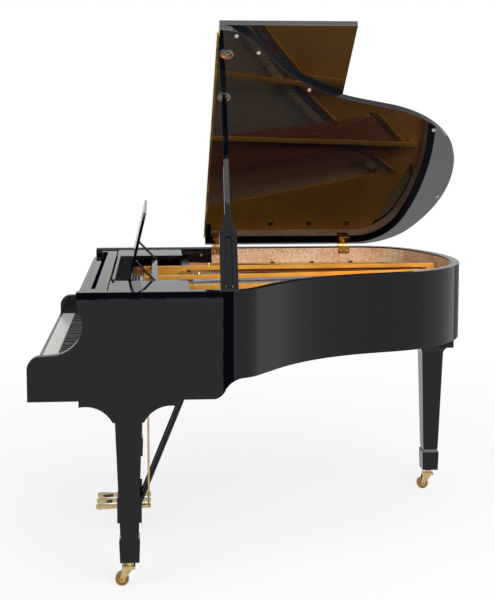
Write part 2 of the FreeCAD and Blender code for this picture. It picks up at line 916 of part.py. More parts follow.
def make_leg_brackets():
    """The arched brackets that spread the front legs under the cheeks."""
    x0 = front_leg_x - bracket_thickness / 2
    step = cheek_bottom - bracket_step
    half = bracket_foot_width / 2
    rise = step - bracket_foot
    reach = bracket_reach - half

    def at(y, z):
        return V(x0, front_leg_y + y, z)

    bow = math.sqrt(0.5)
    out = half + reach * (1 - bow)
    up = bracket_foot + rise * bow
    right = [at(half, bracket_foot), at(out, up), at(bracket_reach, step)]
    left = [at(-half, bracket_foot), at(-out, up), at(-bracket_reach, step)]
    tops = [at(bracket_reach, cheek_bottom), at(-bracket_reach, cheek_bottom)]
    edges = [line(left[0], right[0]), arc(right[0], right[1], right[2]), line(right[2], tops[0]),
             line(tops[0], tops[1]), line(tops[1], left[2]), arc(left[2], left[1], left[0])]
    bracket = prism(edges, V(bracket_thickness, 0, 0))
    return Part.makeCompound([bracket, mirrored(bracket)])


def make_tail_block():
    """The block under the tail of the rim that the back leg is screwed to."""
    low = rim_bottom - tail_block_drop
    reach = 2.4 * leg_cap_width
    block = case_prism(tail_block_inset, 0, low, rim_bottom)
    return block.common(box(tail_leg_x - reach, tail_leg_x + reach,
                            tail_leg_y - leg_cap_width, 2 * case_length,
                            low, rim_bottom))


def make_caster(x, y):
    """A swivel fork with its stem, and the wheel with its axle, trailing to the front."""
    centre = V(x, y - caster_trail, wheel_radius)
    inner = wheel_width / 2 + 1
    outer = inner + fork_wall
    plate_low = fork_top - 2 * fork_wall
    stem = rod(V(x, y, fork_top), Z_AXIS, stem_radius, leg_bottom - fork_top + stem_length)
    collar = rod(V(x, y, fork_top), Z_AXIS, stem_radius + fork_wall, leg_bottom - fork_top - slide_gap)
    plate_back = y + stem_radius + 2 * fork_wall
    plate = box(x - outer, x + outer, y - caster_trail, plate_back, plate_low, fork_top)
    cheeks = []
    boss = axle_radius + fork_wall
    for x0 in (x - outer, x + inner):
        back = V(x0, centre.y + boss, centre.z)
        front = V(x0, centre.y - boss, centre.z)
        heel = V(x0, y + stem_radius, plate_low)
        toe = V(x0, centre.y, plate_low)
        edges = [arc(front, V(x0, centre.y, centre.z - boss), back), line(back, heel), line(heel, toe),
                 line(toe, front)]
        cheeks.append(prism(edges, V(fork_wall, 0, 0)))
    hole = rod(V(x - outer - 1, centre.y, centre.z), X_AXIS, axle_radius + pin_gap, 2 * outer + 2)
    fork = joined([stem, collar, plate] + cheeks).cut(hole)
    tyre = rod(V(x - wheel_width / 2, centre.y, centre.z), X_AXIS, wheel_radius, wheel_width)
    axle = rod(V(x - outer, centre.y, centre.z), X_AXIS, axle_radius, 2 * outer)
    return fork, joined([tyre, axle])


def make_lyre_box():
    """The pedal box: a chamber, slots and pivot holes for each pedal."""
    shape = box(-lyre_half_width, lyre_half_width, lyre_front, lyre_back, lyre_bottom, lyre_top)
    cuts = []
    slot_half = pedal_width / 2 + 3
    room = pedal_spacing / 2 - lyre_wall / 2
    for x in (-pedal_spacing, 0, pedal_spacing):
        cuts.append(box(x - room, x + room, lyre_front + lyre_wall, lyre_back - lyre_wall,
                        lyre_bottom + lyre_wall, lyre_top - lyre_wall))
        cuts.append(box(x - slot_half, x + slot_half, lyre_front - 1, lyre_back + 1,
                        pedal_height - pedal_thickness * 1.6, pedal_height + pedal_thickness * 2))
    reach = pedal_spacing + room + axle_radius
    cuts.append(rod(V(-reach, pedal_pivot, pedal_height), X_AXIS, axle_radius + pin_gap, 2 * reach))
    return shape.cut(cuts)


def make_lyre_frame():
    """The two pillars and the head that hang the pedal box from the keybed."""
    middle = (lyre_front + lyre_back) / 2
    half = pillar_size / 2
    head_low = cheek_bottom - lyre_head_height
    pieces = [box(-lyre_half_width - half, lyre_half_width + half, lyre_front, lyre_back,
                  head_low, cheek_bottom)]
    for x in (-pillar_x, pillar_x):
        pieces.append(box(x - half, x + half, middle - half, middle + half, lyre_top, head_low))
    return joined(pieces)


def make_lyre_braces():
    """The two slanted stays from the pedal box to the keybed."""
    foot_z = lyre_top - 3 * brace_radius
    start = V(0, lyre_back, foot_z)
    end = V(0, brace_seat, cheek_bottom)
    along = (end - start).normalize()
    extra = 4 * brace_radius
    space = box(-case_width, case_width, lyre_back, case_length, 0, cheek_bottom)
    stays = []
    for x in (-brace_x, brace_x):
        stay = rod(start + V(x, 0, 0) - along * extra, along, brace_radius, (end - start).Length + 2 * extra)
        stays.append(stay.common(space))
    return Part.makeCompound(stays)


def make_pedal(x):
    """A brass pedal with a rounded toe and its pivot pin."""
    low = pedal_height - pedal_thickness / 2
    half = pedal_width / 2
    toe = pedal_toe_width / 2
    toe_end = pedal_tip + pedal_toe_length
    left = V(x - toe, pedal_tip + toe, low)
    right = V(x + toe, pedal_tip + toe, low)
    edges = [arc(left, V(x, pedal_tip, low), right), line(right, V(x + half, toe_end, low)),
             line(V(x + half, toe_end, low), V(x + half, pedal_end, low)),
             line(V(x + half, pedal_end, low), V(x - half, pedal_end, low)),
             line(V(x - half, pedal_end, low), V(x - half, toe_end, low)),
             line(V(x - half, toe_end, low), left)]
    lever = prism(edges, V(0, 0, pedal_thickness))
    room = pedal_spacing / 2 - lyre_wall / 2
    reach = room + axle_radius / 2
    pin = rod(V(x - reach, pedal_pivot, pedal_height), X_AXIS, axle_radius, 2 * reach)
    return joined([lever, pin])


def make_pedal_rod(x):
    """The brass rod that stands on the back of a pedal and goes up into the keybed."""
    low = pedal_height + pedal_thickness / 2 + slide_gap
    return rod(V(x, rod_y, low), Z_AXIS, rod_radius, cheek_bottom + rod_entry - low)


def lid_under():
    """Height of the closed lid's underside."""
    return rim_top + lid_lift


def opened(shape):
    """A piece of the closed lid turned to where the prop holds the lid."""
    turned = shape.copy()
    turned.rotate(lid_axis, Y_AXIS, -lid_open)
    return turned


def folded(shape):
    """A piece of the front flap turned over onto the main lid."""
    turned = shape.copy()
    turned.rotate(V(0, fold_line, lid_under() + lid_thickness + flap_gap / 2), X_AXIS, -180)
    return turned


def lid_blank():
    """The whole closed lid, as wide as the case and its overhang."""
    low = lid_under()
    return case_prism(-lid_overhang, arm_back - lid_overhang, low, low + lid_thickness)


def make_lid():
    """The main lid, from the fold line to the tail."""
    edge = fold_line + fold_barrel + fold_leaf
    cut = box(-case_width, case_width, 0, edge, rim_top, 2 * rim_top)
    spine = box(-case_width, -half_width, 0, 2 * case_length, rim_top, 2 * rim_top)
    return opened(lid_blank().cut([cut, spine]))


def make_lid_flap():
    """The front flap of the lid, folded back on the main lid."""
    edge = fold_line - fold_barrel - fold_leaf
    cut = box(-case_width, case_width, edge, 2 * case_length, rim_top, 2 * rim_top)
    spine = box(-case_width, -half_width, 0, 2 * case_length, rim_top, 2 * rim_top)
    return opened(folded(lid_blank().cut([cut, spine])))


def make_fold_hinge():
    """The long hinge at the fold: a leaf with its knuckles and pin for the lid, and one for the flap."""
    low = lid_under()
    axis_z = low + lid_thickness + flap_gap / 2
    length = case_width - 2 * rim_wall
    step = length / fold_knuckles
    pin_radius_small = fold_barrel * 0.4
    shift = fold_barrel + fold_leaf
    leaves = {1: [], -1: []}
    for side in (1, -1):
        near = fold_line + side * fold_barrel * 0.6
        far = fold_line + side * shift
        leaves[side].append(box(-length / 2, length / 2, min(fold_line + side * fold_barrel, far),
                                max(fold_line + side * fold_barrel, far),
                                low + fold_barrel, axis_z - flap_gap / 2))
        for number in range(fold_knuckles):
            if (number % 2 == 0) == (side > 0):
                x0 = -length / 2 + number * step + slide_gap
                knuckle = rod(V(x0, fold_line, axis_z), X_AXIS, fold_barrel, step - 2 * slide_gap)
                web = box(x0, x0 + step - 2 * slide_gap, min(near, far), max(near, far),
                          axis_z - fold_barrel, axis_z - flap_gap / 2)
                leaves[side] += [knuckle, web]
    bore = rod(V(-length / 2 - 1, fold_line, axis_z), X_AXIS, pin_radius_small + pin_gap / 2, length + 2)
    pin = rod(V(-length / 2, fold_line, axis_z), X_AXIS, pin_radius_small, length)
    lid_leaf = joined(leaves[1]).fuse(pin)
    flap_leaf = joined(leaves[-1]).cut(bore)
    return opened(lid_leaf), opened(folded(flap_leaf))


def make_lid_hinges():
    """The spine hinges: bent case leaves with their pins, and the straps on the lid."""
    case_leaves = []
    lid_leaves = []
    third = hinge_width / 3
    plate_face = -inner_face + veneer_thickness
    for y in hinge_places:
        y0 = y - hinge_width / 2
        top = box(lid_axis.x, plate_face + hinge_leaf, y0, y0 + hinge_width, rim_top, rim_top + hinge_leaf)
        drop = box(plate_face, plate_face + hinge_leaf, y0, y0 + hinge_width,
                   rim_top - hinge_plate_drop, rim_top)
        ends = []
        for start in (y0, y0 + 2 * third):
            ends.append(rod(V(lid_axis.x, start, lid_axis.z), Y_AXIS, hinge_barrel, third))
        notch = box(lid_axis.x - 2 * hinge_barrel, lid_axis.x + hinge_barrel + lid_axis_up,
                    y0 + third - slide_gap,
                    y0 + 2 * third + slide_gap, rim_top - hinge_barrel, rim_top + 3 * hinge_barrel)
        pin = rod(V(lid_axis.x, y0, lid_axis.z), Y_AXIS, hinge_pin, hinge_width)
        case_leaves.append(joined([top, drop] + ends).cut(notch).fuse(pin))
        strap = box(lid_axis.x + hinge_barrel / 2, lid_axis.x + lid_strap, y0 + third, y0 + 2 * third,
                    lid_under() - hinge_leaf, lid_under())
        wide = box(-half_width + rim_wall + 2 * hinge_leaf, lid_axis.x + lid_strap, y0, y0 + hinge_width,
                   lid_under() - hinge_leaf, lid_under())
        knuckle = rod(V(lid_axis.x, y0 + third, lid_axis.z), Y_AXIS, hinge_barrel, third)
        bore = rod(V(lid_axis.x, y0, lid_axis.z), Y_AXIS, hinge_pin + pin_gap / 2, hinge_width)
        lid_leaves.append(opened(joined([strap, wide, knuckle]).cut(bore)))
    return Part.makeCompound(case_leaves), Part.makeCompound(lid_leaves)


def make_bumpers():
    """Rubber buttons under the lid's edge."""
    low = lid_under()
    path, end = walk(V(half_width - bumper_inset, treble_side, low), bumper_inset, straight_run)
    pieces = []
    for edge in (path[0], path[1], path[2], path[4], path[5]):
        first, last = edge.ParameterRange
        point = edge.valueAt((first + last) / 2)
        foot = V(point.x, point.y, low - bumper_height)
        pieces.append(opened(rod(foot, Z_AXIS, bumper_radius, bumper_height)))
    return Part.makeCompound(pieces)


def cup_place(reach, y):
    """A place on the closed lid's underside, measured from the hinge line."""
    return V(lid_axis.x + reach, y, lid_under())


def make_cups():
    """The two metal cups under the lid that take the prop and the half prop."""
    pieces = []
    for reach, y in ((prop_cup_reach, prop_cup_y), (half_cup_reach, half_cup_y)):
        place = cup_place(reach, y)
        disc = rod(place - V(0, 0, cup_height), Z_AXIS, cup_radius, cup_height)
        dish = Part.makeCone(cup_radius * 0.8, cup_radius * 0.4, cup_height * 0.5,
                             place - V(0, 0, cup_height))
        pieces.append(opened(disc.cut(dish)))
    return Part.makeCompound(pieces)


def prop_line():
    """Foot, direction and length of the prop, from its ball to just under its cup."""
    turn = FreeCAD.Rotation(Y_AXIS, -lid_open)
    target = cup_place(prop_cup_reach, prop_cup_y) - V(0, 0, cup_height * 0.5 + 2 * slide_gap)
    tip = lid_axis + turn.multVec(target - lid_axis)
    foot = V(prop_foot_x, prop_foot_y, prop_foot_z)
    along = tip - foot
    length = along.Length
    return foot, along.normalize(), length


def prop_frame():
    """The prop's own frame: Z along the stick, Y across its wide face."""
    foot, along, length = prop_line()
    across = (Y_AXIS - along * Y_AXIS.dot(along)).normalize()
    return FreeCAD.Placement(foot, FreeCAD.Rotation(across.cross(along), across, along, "ZYX"))


def make_prop():
    """The prop: a ball foot, a wide blade with a pocket open at its heel, and a slim stick."""
    foot, along, length = prop_line()
    half_depth_prop = prop_depth / 2
    half = prop_width / 2
    slim = prop_rod / 2
    ball = Part.makeSphere(prop_ball)
    shin = rod(V(0, 0, 0), Z_AXIS, prop_shin, prop_blade_start + slim)
    points = [V(-half_depth_prop, -half, prop_blade_start), V(-half_depth_prop, half, prop_blade_start),
              V(-half_depth_prop, half, prop_blade_end), V(-half_depth_prop, slim, prop_taper_end),
              V(-half_depth_prop, -slim, prop_taper_end), V(-half_depth_prop, -half, prop_blade_end)]
    blade = polygon(points, V(prop_depth, 0, 0))
    stick = box(-slim, slim, -slim, slim, prop_taper_end, length - slim)
    tip = Part.makeCone(slim, slim * 0.6, slim, V(0, 0, length - slim))
    room = half_width_prop / 2 + panel_gap
    wall = half_depth / 2 + panel_gap
    low = half_start - 3 * panel_gap
    window = box(-wall, prop_depth, -room, room, low, half_end - room)
    heel = box(-prop_depth, 0, -room, room, low, half_start + 1.5 * half_depth)
    arch = rod(V(-wall, 0, half_end - room + 2 * panel_gap), X_AXIS, room, wall + prop_depth)
    hole = rod(V(0, -half, half_start + half_depth), Y_AXIS, half_pin + pin_gap, prop_width)
    blind = box(-prop_depth, prop_depth, half_width_prop, half, 0, length)
    shape = joined([ball, shin, blade, stick, tip]).cut([window, heel, arch])
    shape = shape.cut(hole.cut(blind))
    shape.Placement = prop_frame()
    return shape


def make_half_prop():
    """The short prop nested in the blade's window, on its own pin."""
    half = half_width_prop / 2
    deep = half_depth / 2
    base = half_start + half_depth
    points = [V(-deep, -half, half_start), V(-deep, half, half_start), V(-deep, half, half_end - half),
              V(-deep, -half, half_end - half)]
    edges = [line(points[0], points[1]), line(points[1], points[2]),
             arc(points[2], V(-deep, 0, half_end), points[3]), line(points[3], points[0])]
    stick = prism(edges, V(half_depth, 0, 0))
    pin = rod(V(0, -half - 3 * half_pin, base), Y_AXIS, half_pin, 2 * half + 6 * half_pin - panel_gap)
    shape = joined([stick, pin])
    shape.Placement = prop_frame()
    return shape


def make_prop_bracket():
    """The block on the rim with the socket that holds the prop's ball."""
    size = prop_ball + socket_wall
    top = prop_foot_z - socket_drop
    wall = case_prism(rim_wall + veneer_thickness, 0, plate_top, top)
    boss = rod(V(prop_foot_x, prop_foot_y, plate_top), Z_AXIS, size, top - plate_top)
    arm = box(prop_foot_x, half_width, prop_foot_y - prop_ball, prop_foot_y + prop_ball, plate_top, top)
    socket = Part.makeSphere(prop_ball + pin_gap, V(prop_foot_x, prop_foot_y, prop_foot_z))
    return joined([boss, arm]).common(wall).cut(socket)


def make_desk_frame():
    """The sliding frame of the music desk: two shelves, the front ledge and the rear bar."""
    low = shelf_top - shelf_thickness
    pieces = []
    for side in (-1, 1):
        x0 = min(side * shelf_inner, side * shelf_outer)
        pieces.append(box(x0, x0 + shelf_outer - shelf_inner, shelf_front, shelf_back, low, shelf_top))
    pieces.append(box(-shelf_inner, shelf_inner, ledge_front, ledge_back, low, shelf_top))
    pieces.append(box(-shelf_inner, shelf_inner, ledge_front, ledge_front + ledge_lip, shelf_top,
                      shelf_top + ledge_lip_height))
    pieces.append(box(-shelf_inner, shelf_inner, rear_bar_front, rear_bar_back,
                      rear_bar_top - rear_bar_thickness, rear_bar_top))
    return joined(pieces)


def desk_axis():
    """A point on the line that the music desk tilts on."""
    return V(0, desk_axis_y, shelf_top)


def tilted(shape):
    """A piece of the flat-folded desk raised to its reading angle."""
    turned = shape.copy()
    turned.rotate(desk_axis(), X_AXIS, 90 - desk_lean)
    return turned


def make_music_desk():
    """The music desk panel, its top corners rounded, with the bead along its lower edge."""
    low = shelf_top + slide_gap
    side = desk_half_width
    far = desk_axis_y + desk_height
    turn = desk_corner * (1 - math.sqrt(0.5))
    points = [V(-side, desk_axis_y, low), V(side, desk_axis_y, low), V(side, far - desk_corner, low),
              V(side - desk_corner, far, low), V(desk_corner - side, far, low), V(-side, far - desk_corner, low)]
    edges = [line(points[0], points[1]), line(points[1], points[2]),
             arc(points[2], V(side - turn, far - turn, low), points[3]), line(points[3], points[4]),
             arc(points[4], V(turn - side, far - turn, low), points[5]), line(points[5], points[0])]
    panel = prism(edges, V(0, 0, desk_thickness))
    bead = rod(V(-desk_half_width, desk_axis_y, shelf_top), X_AXIS, desk_bead, 2 * desk_half_width)
    return tilted(joined([panel, bead]))


def strut_ends():
    """The pivot on the desk's back and the foot on the rear bar, at rest."""
    turn = FreeCAD.Rotation(X_AXIS, 90 - desk_lean)
    drop = strut_bar / 2
    pivot = desk_axis() + turn.multVec(V(0, strut_pivot, -drop))
    foot = V(0, (rear_bar_front + rear_bar_back) / 2, rear_bar_top + drop + slide_gap)
    return pivot, foot


def make_desk_struts():
    """The two black struts that hold the desk up from the rear bar."""
    pivot, foot = strut_ends()
    along = (foot - pivot).normalize()
    length = (foot - pivot).Length
    pieces = []
    for x in (-strut_x, strut_x):
        bar = rod(pivot + V(x, 0, 0), along, strut_bar / 2, length)
        eye = rod(pivot + V(x - strut_bar, 0, 0), X_AXIS, strut_bar / 2 - slide_gap / 2, 2 * strut_bar)
        pieces.append(joined([bar, eye]))
    return Part.makeCompound(pieces)


def make_front_board():
    """The flat board between the fallboard and the music desk."""
    top = shelf_top - front_board_drop
    return box(-panel_face, panel_face, front_board_start, front_board_end, top - front_board_thickness, top)


def make_fallboard():
    """The fallboard, open: a board with a lip along its free edge and a pivot pin at each end."""
    half = keyboard_half + key_block_gap - fall_end_gap
    points = [V(-half, fall_lip_front, fall_top), V(-half, fall_back, fall_top),
              V(-half, fall_back, fall_axis_z + fall_foot),
              V(-half, fall_axis_y + fall_foot, fall_axis_z + fall_foot),
              V(-half, fall_axis_y + fall_foot, fall_axis_z - fall_foot),
              V(-half, fall_face, fall_axis_z - fall_foot),
              V(-half, fall_face, fall_top - fall_lip_thickness),
              V(-half, fall_lip_front, fall_top - fall_lip_thickness)]
    board = polygon(points, V(2 * half, 0, 0))
    reach = half + fall_pin_length
    pin = rod(V(-reach, fall_axis_y, fall_axis_z), X_AXIS, fall_pin, 2 * reach)
    return joined([board, pin])


def make_all():
    """Every piece by name, at rest as in the photograph."""
    plain, bass, pins = make_strings()
    naturals, sharps = make_keys()
    natural_hammers, sharp_hammers = make_hammers()
    case_leaves, lid_leaves = make_lid_hinges()
    fold_lid_leaf, fold_flap_leaf = make_fold_hinge()
    front_leg = make_front_leg()
    pieces = {
        "rim": make_rim(), "inner_rim": make_inner_rim(), "rim_veneer": make_rim_veneer(),
        "side_panels": make_side_panels(), "keybed": make_keybed(), "key_slip": make_key_slip(),
        "key_blocks": make_key_blocks(), "belly_rail": make_belly_rail(), "rim_braces": make_rim_braces(),
        "soundboard": make_soundboard(), "soundboard_ribs": make_ribs(), "bridges": make_bridges(),
        "iron_plate": make_iron_plate(), "pin_block": make_pin_block(), "tuning_pins": pins,
        "plain_strings": plain, "bass_strings": bass, "dampers": make_dampers(),
        "natural_keys": naturals, "sharp_keys": sharps, "key_frame": make_key_frame(),
        "action_frame": make_action_frame(),
        "natural_hammers": natural_hammers, "sharp_hammers": sharp_hammers,
        "leg_treble": front_leg, "leg_bass": mirrored(front_leg), "leg_tail": make_tail_leg(),
        "leg_brackets": make_leg_brackets(), "tail_leg_block": make_tail_block(),
        "lyre_box": make_lyre_box(), "lyre_frame": make_lyre_frame(), "lyre_braces": make_lyre_braces(),
        "lid": make_lid(), "lid_flap": make_lid_flap(), "lid_hinge_case_leaves": case_leaves,
        "lid_hinge_lid_leaves": lid_leaves, "fold_hinge_lid_leaf": fold_lid_leaf,
        "fold_hinge_flap_leaf": fold_flap_leaf, "lid_bumpers": make_bumpers(), "prop_cups": make_cups(),
        "lid_prop": make_prop(), "half_prop": make_half_prop(), "prop_bracket": make_prop_bracket(),
        "desk_frame": make_desk_frame(), "music_desk": make_music_desk(), "desk_struts": make_desk_struts(),
        "front_board": make_front_board(), "fallboard": make_fallboard(),
    }
    for name, x in (("left", -pedal_spacing), ("middle", 0), ("right", pedal_spacing)):
        pieces["pedal_" + name] = make_pedal(x)
        pieces["pedal_rod_" + name] = make_pedal_rod(x)
    feet = {"treble": (front_leg_x, front_leg_y), "bass": (-front_leg_x, front_leg_y),
            "tail": (tail_leg_x, tail_leg_y)}
    for name, (x, y) in feet.items():
        fork, wheel = make_caster(x, y)
        pieces["caster_fork_" + name] = fork
        pieces["caster_wheel_" + name] = wheel
    return pieces


def main():
    """Write each piece, with the origin on the floor under the middle of the case."""
    os.makedirs("parts", exist_ok=True)
    for name, shape in make_all().items():
        shape.translate(V(0, -case_length / 2, 0))
        shape.exportStep("parts/" + name + ".step")
        print(name, len(shape.Solids), "solids", round(shape.Volume / 1000), "cm3", shape.isValid())


main()
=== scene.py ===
"""Looks of a black grand piano with its lid on the prop: finishes, small trim, studio and camera."""

import logging
import math
from dataclasses import dataclass
from enum import Enum
from typing import Any, Optional, Sequence

import bpy
import numpy as np
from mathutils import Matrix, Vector


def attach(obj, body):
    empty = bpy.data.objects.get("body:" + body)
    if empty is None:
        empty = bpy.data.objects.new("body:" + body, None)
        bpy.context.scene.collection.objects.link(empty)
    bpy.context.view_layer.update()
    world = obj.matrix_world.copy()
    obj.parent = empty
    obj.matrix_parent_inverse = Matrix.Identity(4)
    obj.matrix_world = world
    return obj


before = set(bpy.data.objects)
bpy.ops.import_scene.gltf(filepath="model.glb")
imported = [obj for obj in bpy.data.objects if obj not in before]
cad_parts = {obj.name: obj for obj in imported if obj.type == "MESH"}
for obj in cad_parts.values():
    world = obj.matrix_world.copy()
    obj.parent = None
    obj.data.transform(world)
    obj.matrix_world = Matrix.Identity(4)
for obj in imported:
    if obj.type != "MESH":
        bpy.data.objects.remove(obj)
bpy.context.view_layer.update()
LOG = logging.getLogger("grand_piano")
MM = 0.001
CASE_MIDDLE = 821.6786
# A wave texture of scale one repeats every pi / 10.
WAVE_REPEAT = math.pi / 10.0
UP = np.array([0.0, 0.0, 1.0])

Mesh = tuple[np.ndarray, list[tuple[int, ...]]]
Profile = tuple[tuple[float, float], ...]
Strings = dict[str, np.ndarray]


class Body(str, Enum):
    """The moving bodies that carry trim."""

    CASE = "case"
    LID = "lid"
    DESK = "desk_frame"


class Slot(str, Enum):
    """The record's material slots that trim falls under."""

    BRASS = "brass"
    STRING = "string_steel"
    PIN = "pin_steel"
    IRON = "gold_iron"
    FELT = "damper_felt"


class Axis(str, Enum):
    """The coordinate on which two materials meet."""

    DEPTH = "Y"
    HEIGHT = "Z"


def linear(code: str) -> tuple[float, float, float, float]:
    """Turns an sRGB hex colour into linear RGBA.

    Args:
        code: Six hex digits after a hash.

    Returns:
        Linear red, green, blue and an alpha of one.
    """
    values = np.array([int(code[i:i + 2], 16) for i in (1, 3, 5)]) / 255.0
    curve = np.where(values <= 0.04045, values / 12.92, ((values + 0.055) / 1.055) ** 2.4)
    return (float(curve[0]), float(curve[1]), float(curve[2]), 1.0)


def place(points: Sequence[Any]) -> np.ndarray:
    """Moves points from millimetres with Y = 0 at the arms' front to the part's frame in metres.

    Args:
        points: One point or an array of points.

    Returns:
        The points as an array of the same shape.
    """
    return (np.asarray(points, dtype=float) - np.array([0.0, CASE_MIDDLE, 0.0])) * MM


def per_metre(size_mm: float) -> float:
    """Pattern repeats per metre for a repeat of the given millimetres."""
    return 1.0 / (size_mm * MM)


def grey(value: float) -> tuple[float, float, float, float]:
    """A linear grey with an alpha of one."""
    return (value, value, value, 1.0)


def ramp(codes: Sequence[str], at: Sequence[float] = (0.3, 0.7)) -> list[tuple[float, tuple]]:
    """Colour ramp stops for hex colours at the given positions."""
    return [(position, linear(code)) for position, code in zip(at, codes)]


def blank_tree(owner: Any) -> bpy.types.NodeTree:
    """Empties a material's or a world's node tree.

    Args:
        owner: The new material or world.

    Returns:
        Its node tree, without nodes.
    """
    owner.use_nodes = True
    owner.node_tree.nodes.clear()
    return owner.node_tree


def shown(name: str, data: Any) -> bpy.types.Object:
    """Makes an object of its data and links it to the scene.

    Args:
        name: Name of the object.
        data: Mesh, light or camera.

    Returns:
        The new object.
    """
    made = bpy.data.objects.new(name, data)
    bpy.context.scene.collection.objects.link(made)
    return made


def add(tree: bpy.types.NodeTree, kind: str, settings: Optional[dict] = None,
        links: Optional[dict] = None) -> bpy.types.Node:
    """Adds a shader node, sets its values and links its inputs.

    Args:
        tree: The node tree that gets the node.
        kind: Blender's name of the node type.
        settings: Values for inputs or properties, and "stops" for a colour ramp.
        links: Output sockets for inputs, by input name or number.

    Returns:
        The new node.
    """
    made = tree.nodes.new(kind)
    for name, value in (settings or {}).items():
        if name == "stops":
            elements = made.color_ramp.elements
            while len(elements) < len(value):
                elements.new(1.0)
            for element, (position, colour) in zip(elements, value):
                element.position = position
                element.color = colour
        elif isinstance(name, int) or name in made.inputs:
            made.inputs[name].default_value = value
        else:
            setattr(made, name, value)
    for name, socket in (links or {}).items():
        tree.links.new(socket, made.inputs[name])
    return made


class Finish:
    """One material, made once and handed to every piece that wears it."""

    name: str

    def shader(self, tree: bpy.types.NodeTree) -> bpy.types.Node:
        """Builds the nodes and returns the shader node."""
        raise NotImplementedError(self.name)

    def material(self) -> bpy.types.Material:
        """Builds the material at its first use.

        Returns:
            The finish's material.
        """
        made = bpy.data.materials.get(self.name)
        if made is None:
            made = bpy.data.materials.new(self.name)
            tree = blank_tree(made)
            add(tree, "ShaderNodeOutputMaterial", links={"Surface": self.shader(tree).outputs[0]})
        return made


@dataclass(frozen=True)
class PolishedLacquer(Finish):
    """Black polyester lacquer, sprayed and buffed: a mirror with a trace of orange peel and haze."""

    name: str = "polished_black_lacquer"
    colour: str = "#06070c"
    haze_mm: float = 260.0
    peel_mm: float = 14.0
    edge_mm: float = 1.6
    rough: tuple[float, float] = (0.006, 0.022)
    ior: float = 1.35

    def shader(self, tree: bpy.types.NodeTree) -> bpy.types.Node:
        """Haze drives the roughness, and the rounded edge and the peel drive the normal.

        Args:
            tree: The node tree that gets the nodes.

        Returns:
            The shader node.
        """
        spot = add(tree, "ShaderNodeTexCoord").outputs["Object"]
        haze = add(tree, "ShaderNodeTexNoise", {"Scale": per_metre(self.haze_mm), "Detail": 4.0},
                   {"Vector": spot})
        rough = add(tree, "ShaderNodeMapRange", {"To Min": self.rough[0], "To Max": self.rough[1]},
                    {"Value": haze.outputs["Fac"]})
        peel = add(tree, "ShaderNodeTexNoise", {"Scale": per_metre(self.peel_mm), "Detail": 1.0},
                   {"Vector": spot})
        edge = add(tree, "ShaderNodeBevel", {"samples": 4, "Radius": self.edge_mm * MM})
        bump = add(tree, "ShaderNodeBump", {"Strength": 0.012, "Distance": 0.001},
                   {"Height": peel.outputs["Fac"], "Normal": edge.outputs["Normal"]})
        return add(tree, "ShaderNodeBsdfPrincipled", {"Base Color": linear(self.colour), "IOR": self.ior},
                   {"Roughness": rough.outputs["Result"], "Normal": bump.outputs["Normal"]})


@dataclass(frozen=True)
class LidLacquer(PolishedLacquer):
    """The same lacquer on the lid, buffed deeper below: a clear mirror underneath, plain gloss elsewhere.

    The underside is the skin of the board that lies nearest to a plane, given by its tilt and its place
    along its normal, so the edges and the outside keep the common lacquer's gloss.
    """

    name: str = "deep_buffed_black_lacquer"
    colour: str = "#0c0d14"
    rough: tuple[float, float] = (0.004, 0.014)
    ior: float = 1.45
    deep_ior: float = 1.82
    tilt_deg: float = 34.6
    underside_mm: float = -1265.6
    skin_mm: tuple[float, float] = (2.0, 1.0)

    def shader(self, tree: bpy.types.NodeTree) -> bpy.types.Node:
        """Raises the lacquer's IOR where the point lies in the underside's skin.

        Args:
            tree: The node tree that gets the nodes.

        Returns:
            The shader node.
        """
        gloss = super().shader(tree)
        tilt = math.radians(self.tilt_deg)
        depth = add(tree, "ShaderNodeVectorMath",
                    {"operation": "DOT_PRODUCT", 1: (math.sin(tilt), 0.0, -math.cos(tilt))},
                    {0: add(tree, "ShaderNodeTexCoord").outputs["Object"]})
        skin = [(self.underside_mm - inside) * MM for inside in self.skin_mm]
        ior = add(tree, "ShaderNodeMapRange", {"From Min": skin[0], "From Max": skin[1], "To Min": self.ior,
                                               "To Max": self.deep_ior}, {"Value": depth.outputs["Value"]})
        tree.links.new(ior.outputs["Result"], gloss.inputs["IOR"])
        return gloss


@dataclass(frozen=True)
class SatinPaint(Finish):
    """Black satin paint on wood, rolled on: soft sheen with the grain just felt through it."""

    name: str = "satin_black_paint"
    colours: tuple[str, str] = ("#101011", "#191817")
    grain_mm: float = 5.0

    def shader(self, tree: bpy.types.NodeTree) -> bpy.types.Node:
        """Stretched noise gives the grain under the paint.

        Args:
            tree: The node tree that gets the nodes.

        Returns:
            The shader node.
        """
        spot = add(tree, "ShaderNodeTexCoord").outputs["Object"]
        turned = add(tree, "ShaderNodeMapping", {"Scale": (0.05, 1.0, 1.0)}, {"Vector": spot})
        grain = add(tree, "ShaderNodeTexNoise", {"Scale": per_metre(self.grain_mm), "Detail": 3.0},
                    {"Vector": turned.outputs["Vector"]})
        tint = add(tree, "ShaderNodeValToRGB", {"stops": ramp(self.colours)},
                   {"Fac": grain.outputs["Fac"]})
        bump = add(tree, "ShaderNodeBump", {"Strength": 0.08, "Distance": 0.001},
                   {"Height": grain.outputs["Fac"]})
        return add(tree, "ShaderNodeBsdfPrincipled", {"Roughness": 0.38},
                   {"Base Color": tint.outputs["Color"], "Normal": bump.outputs["Normal"]})


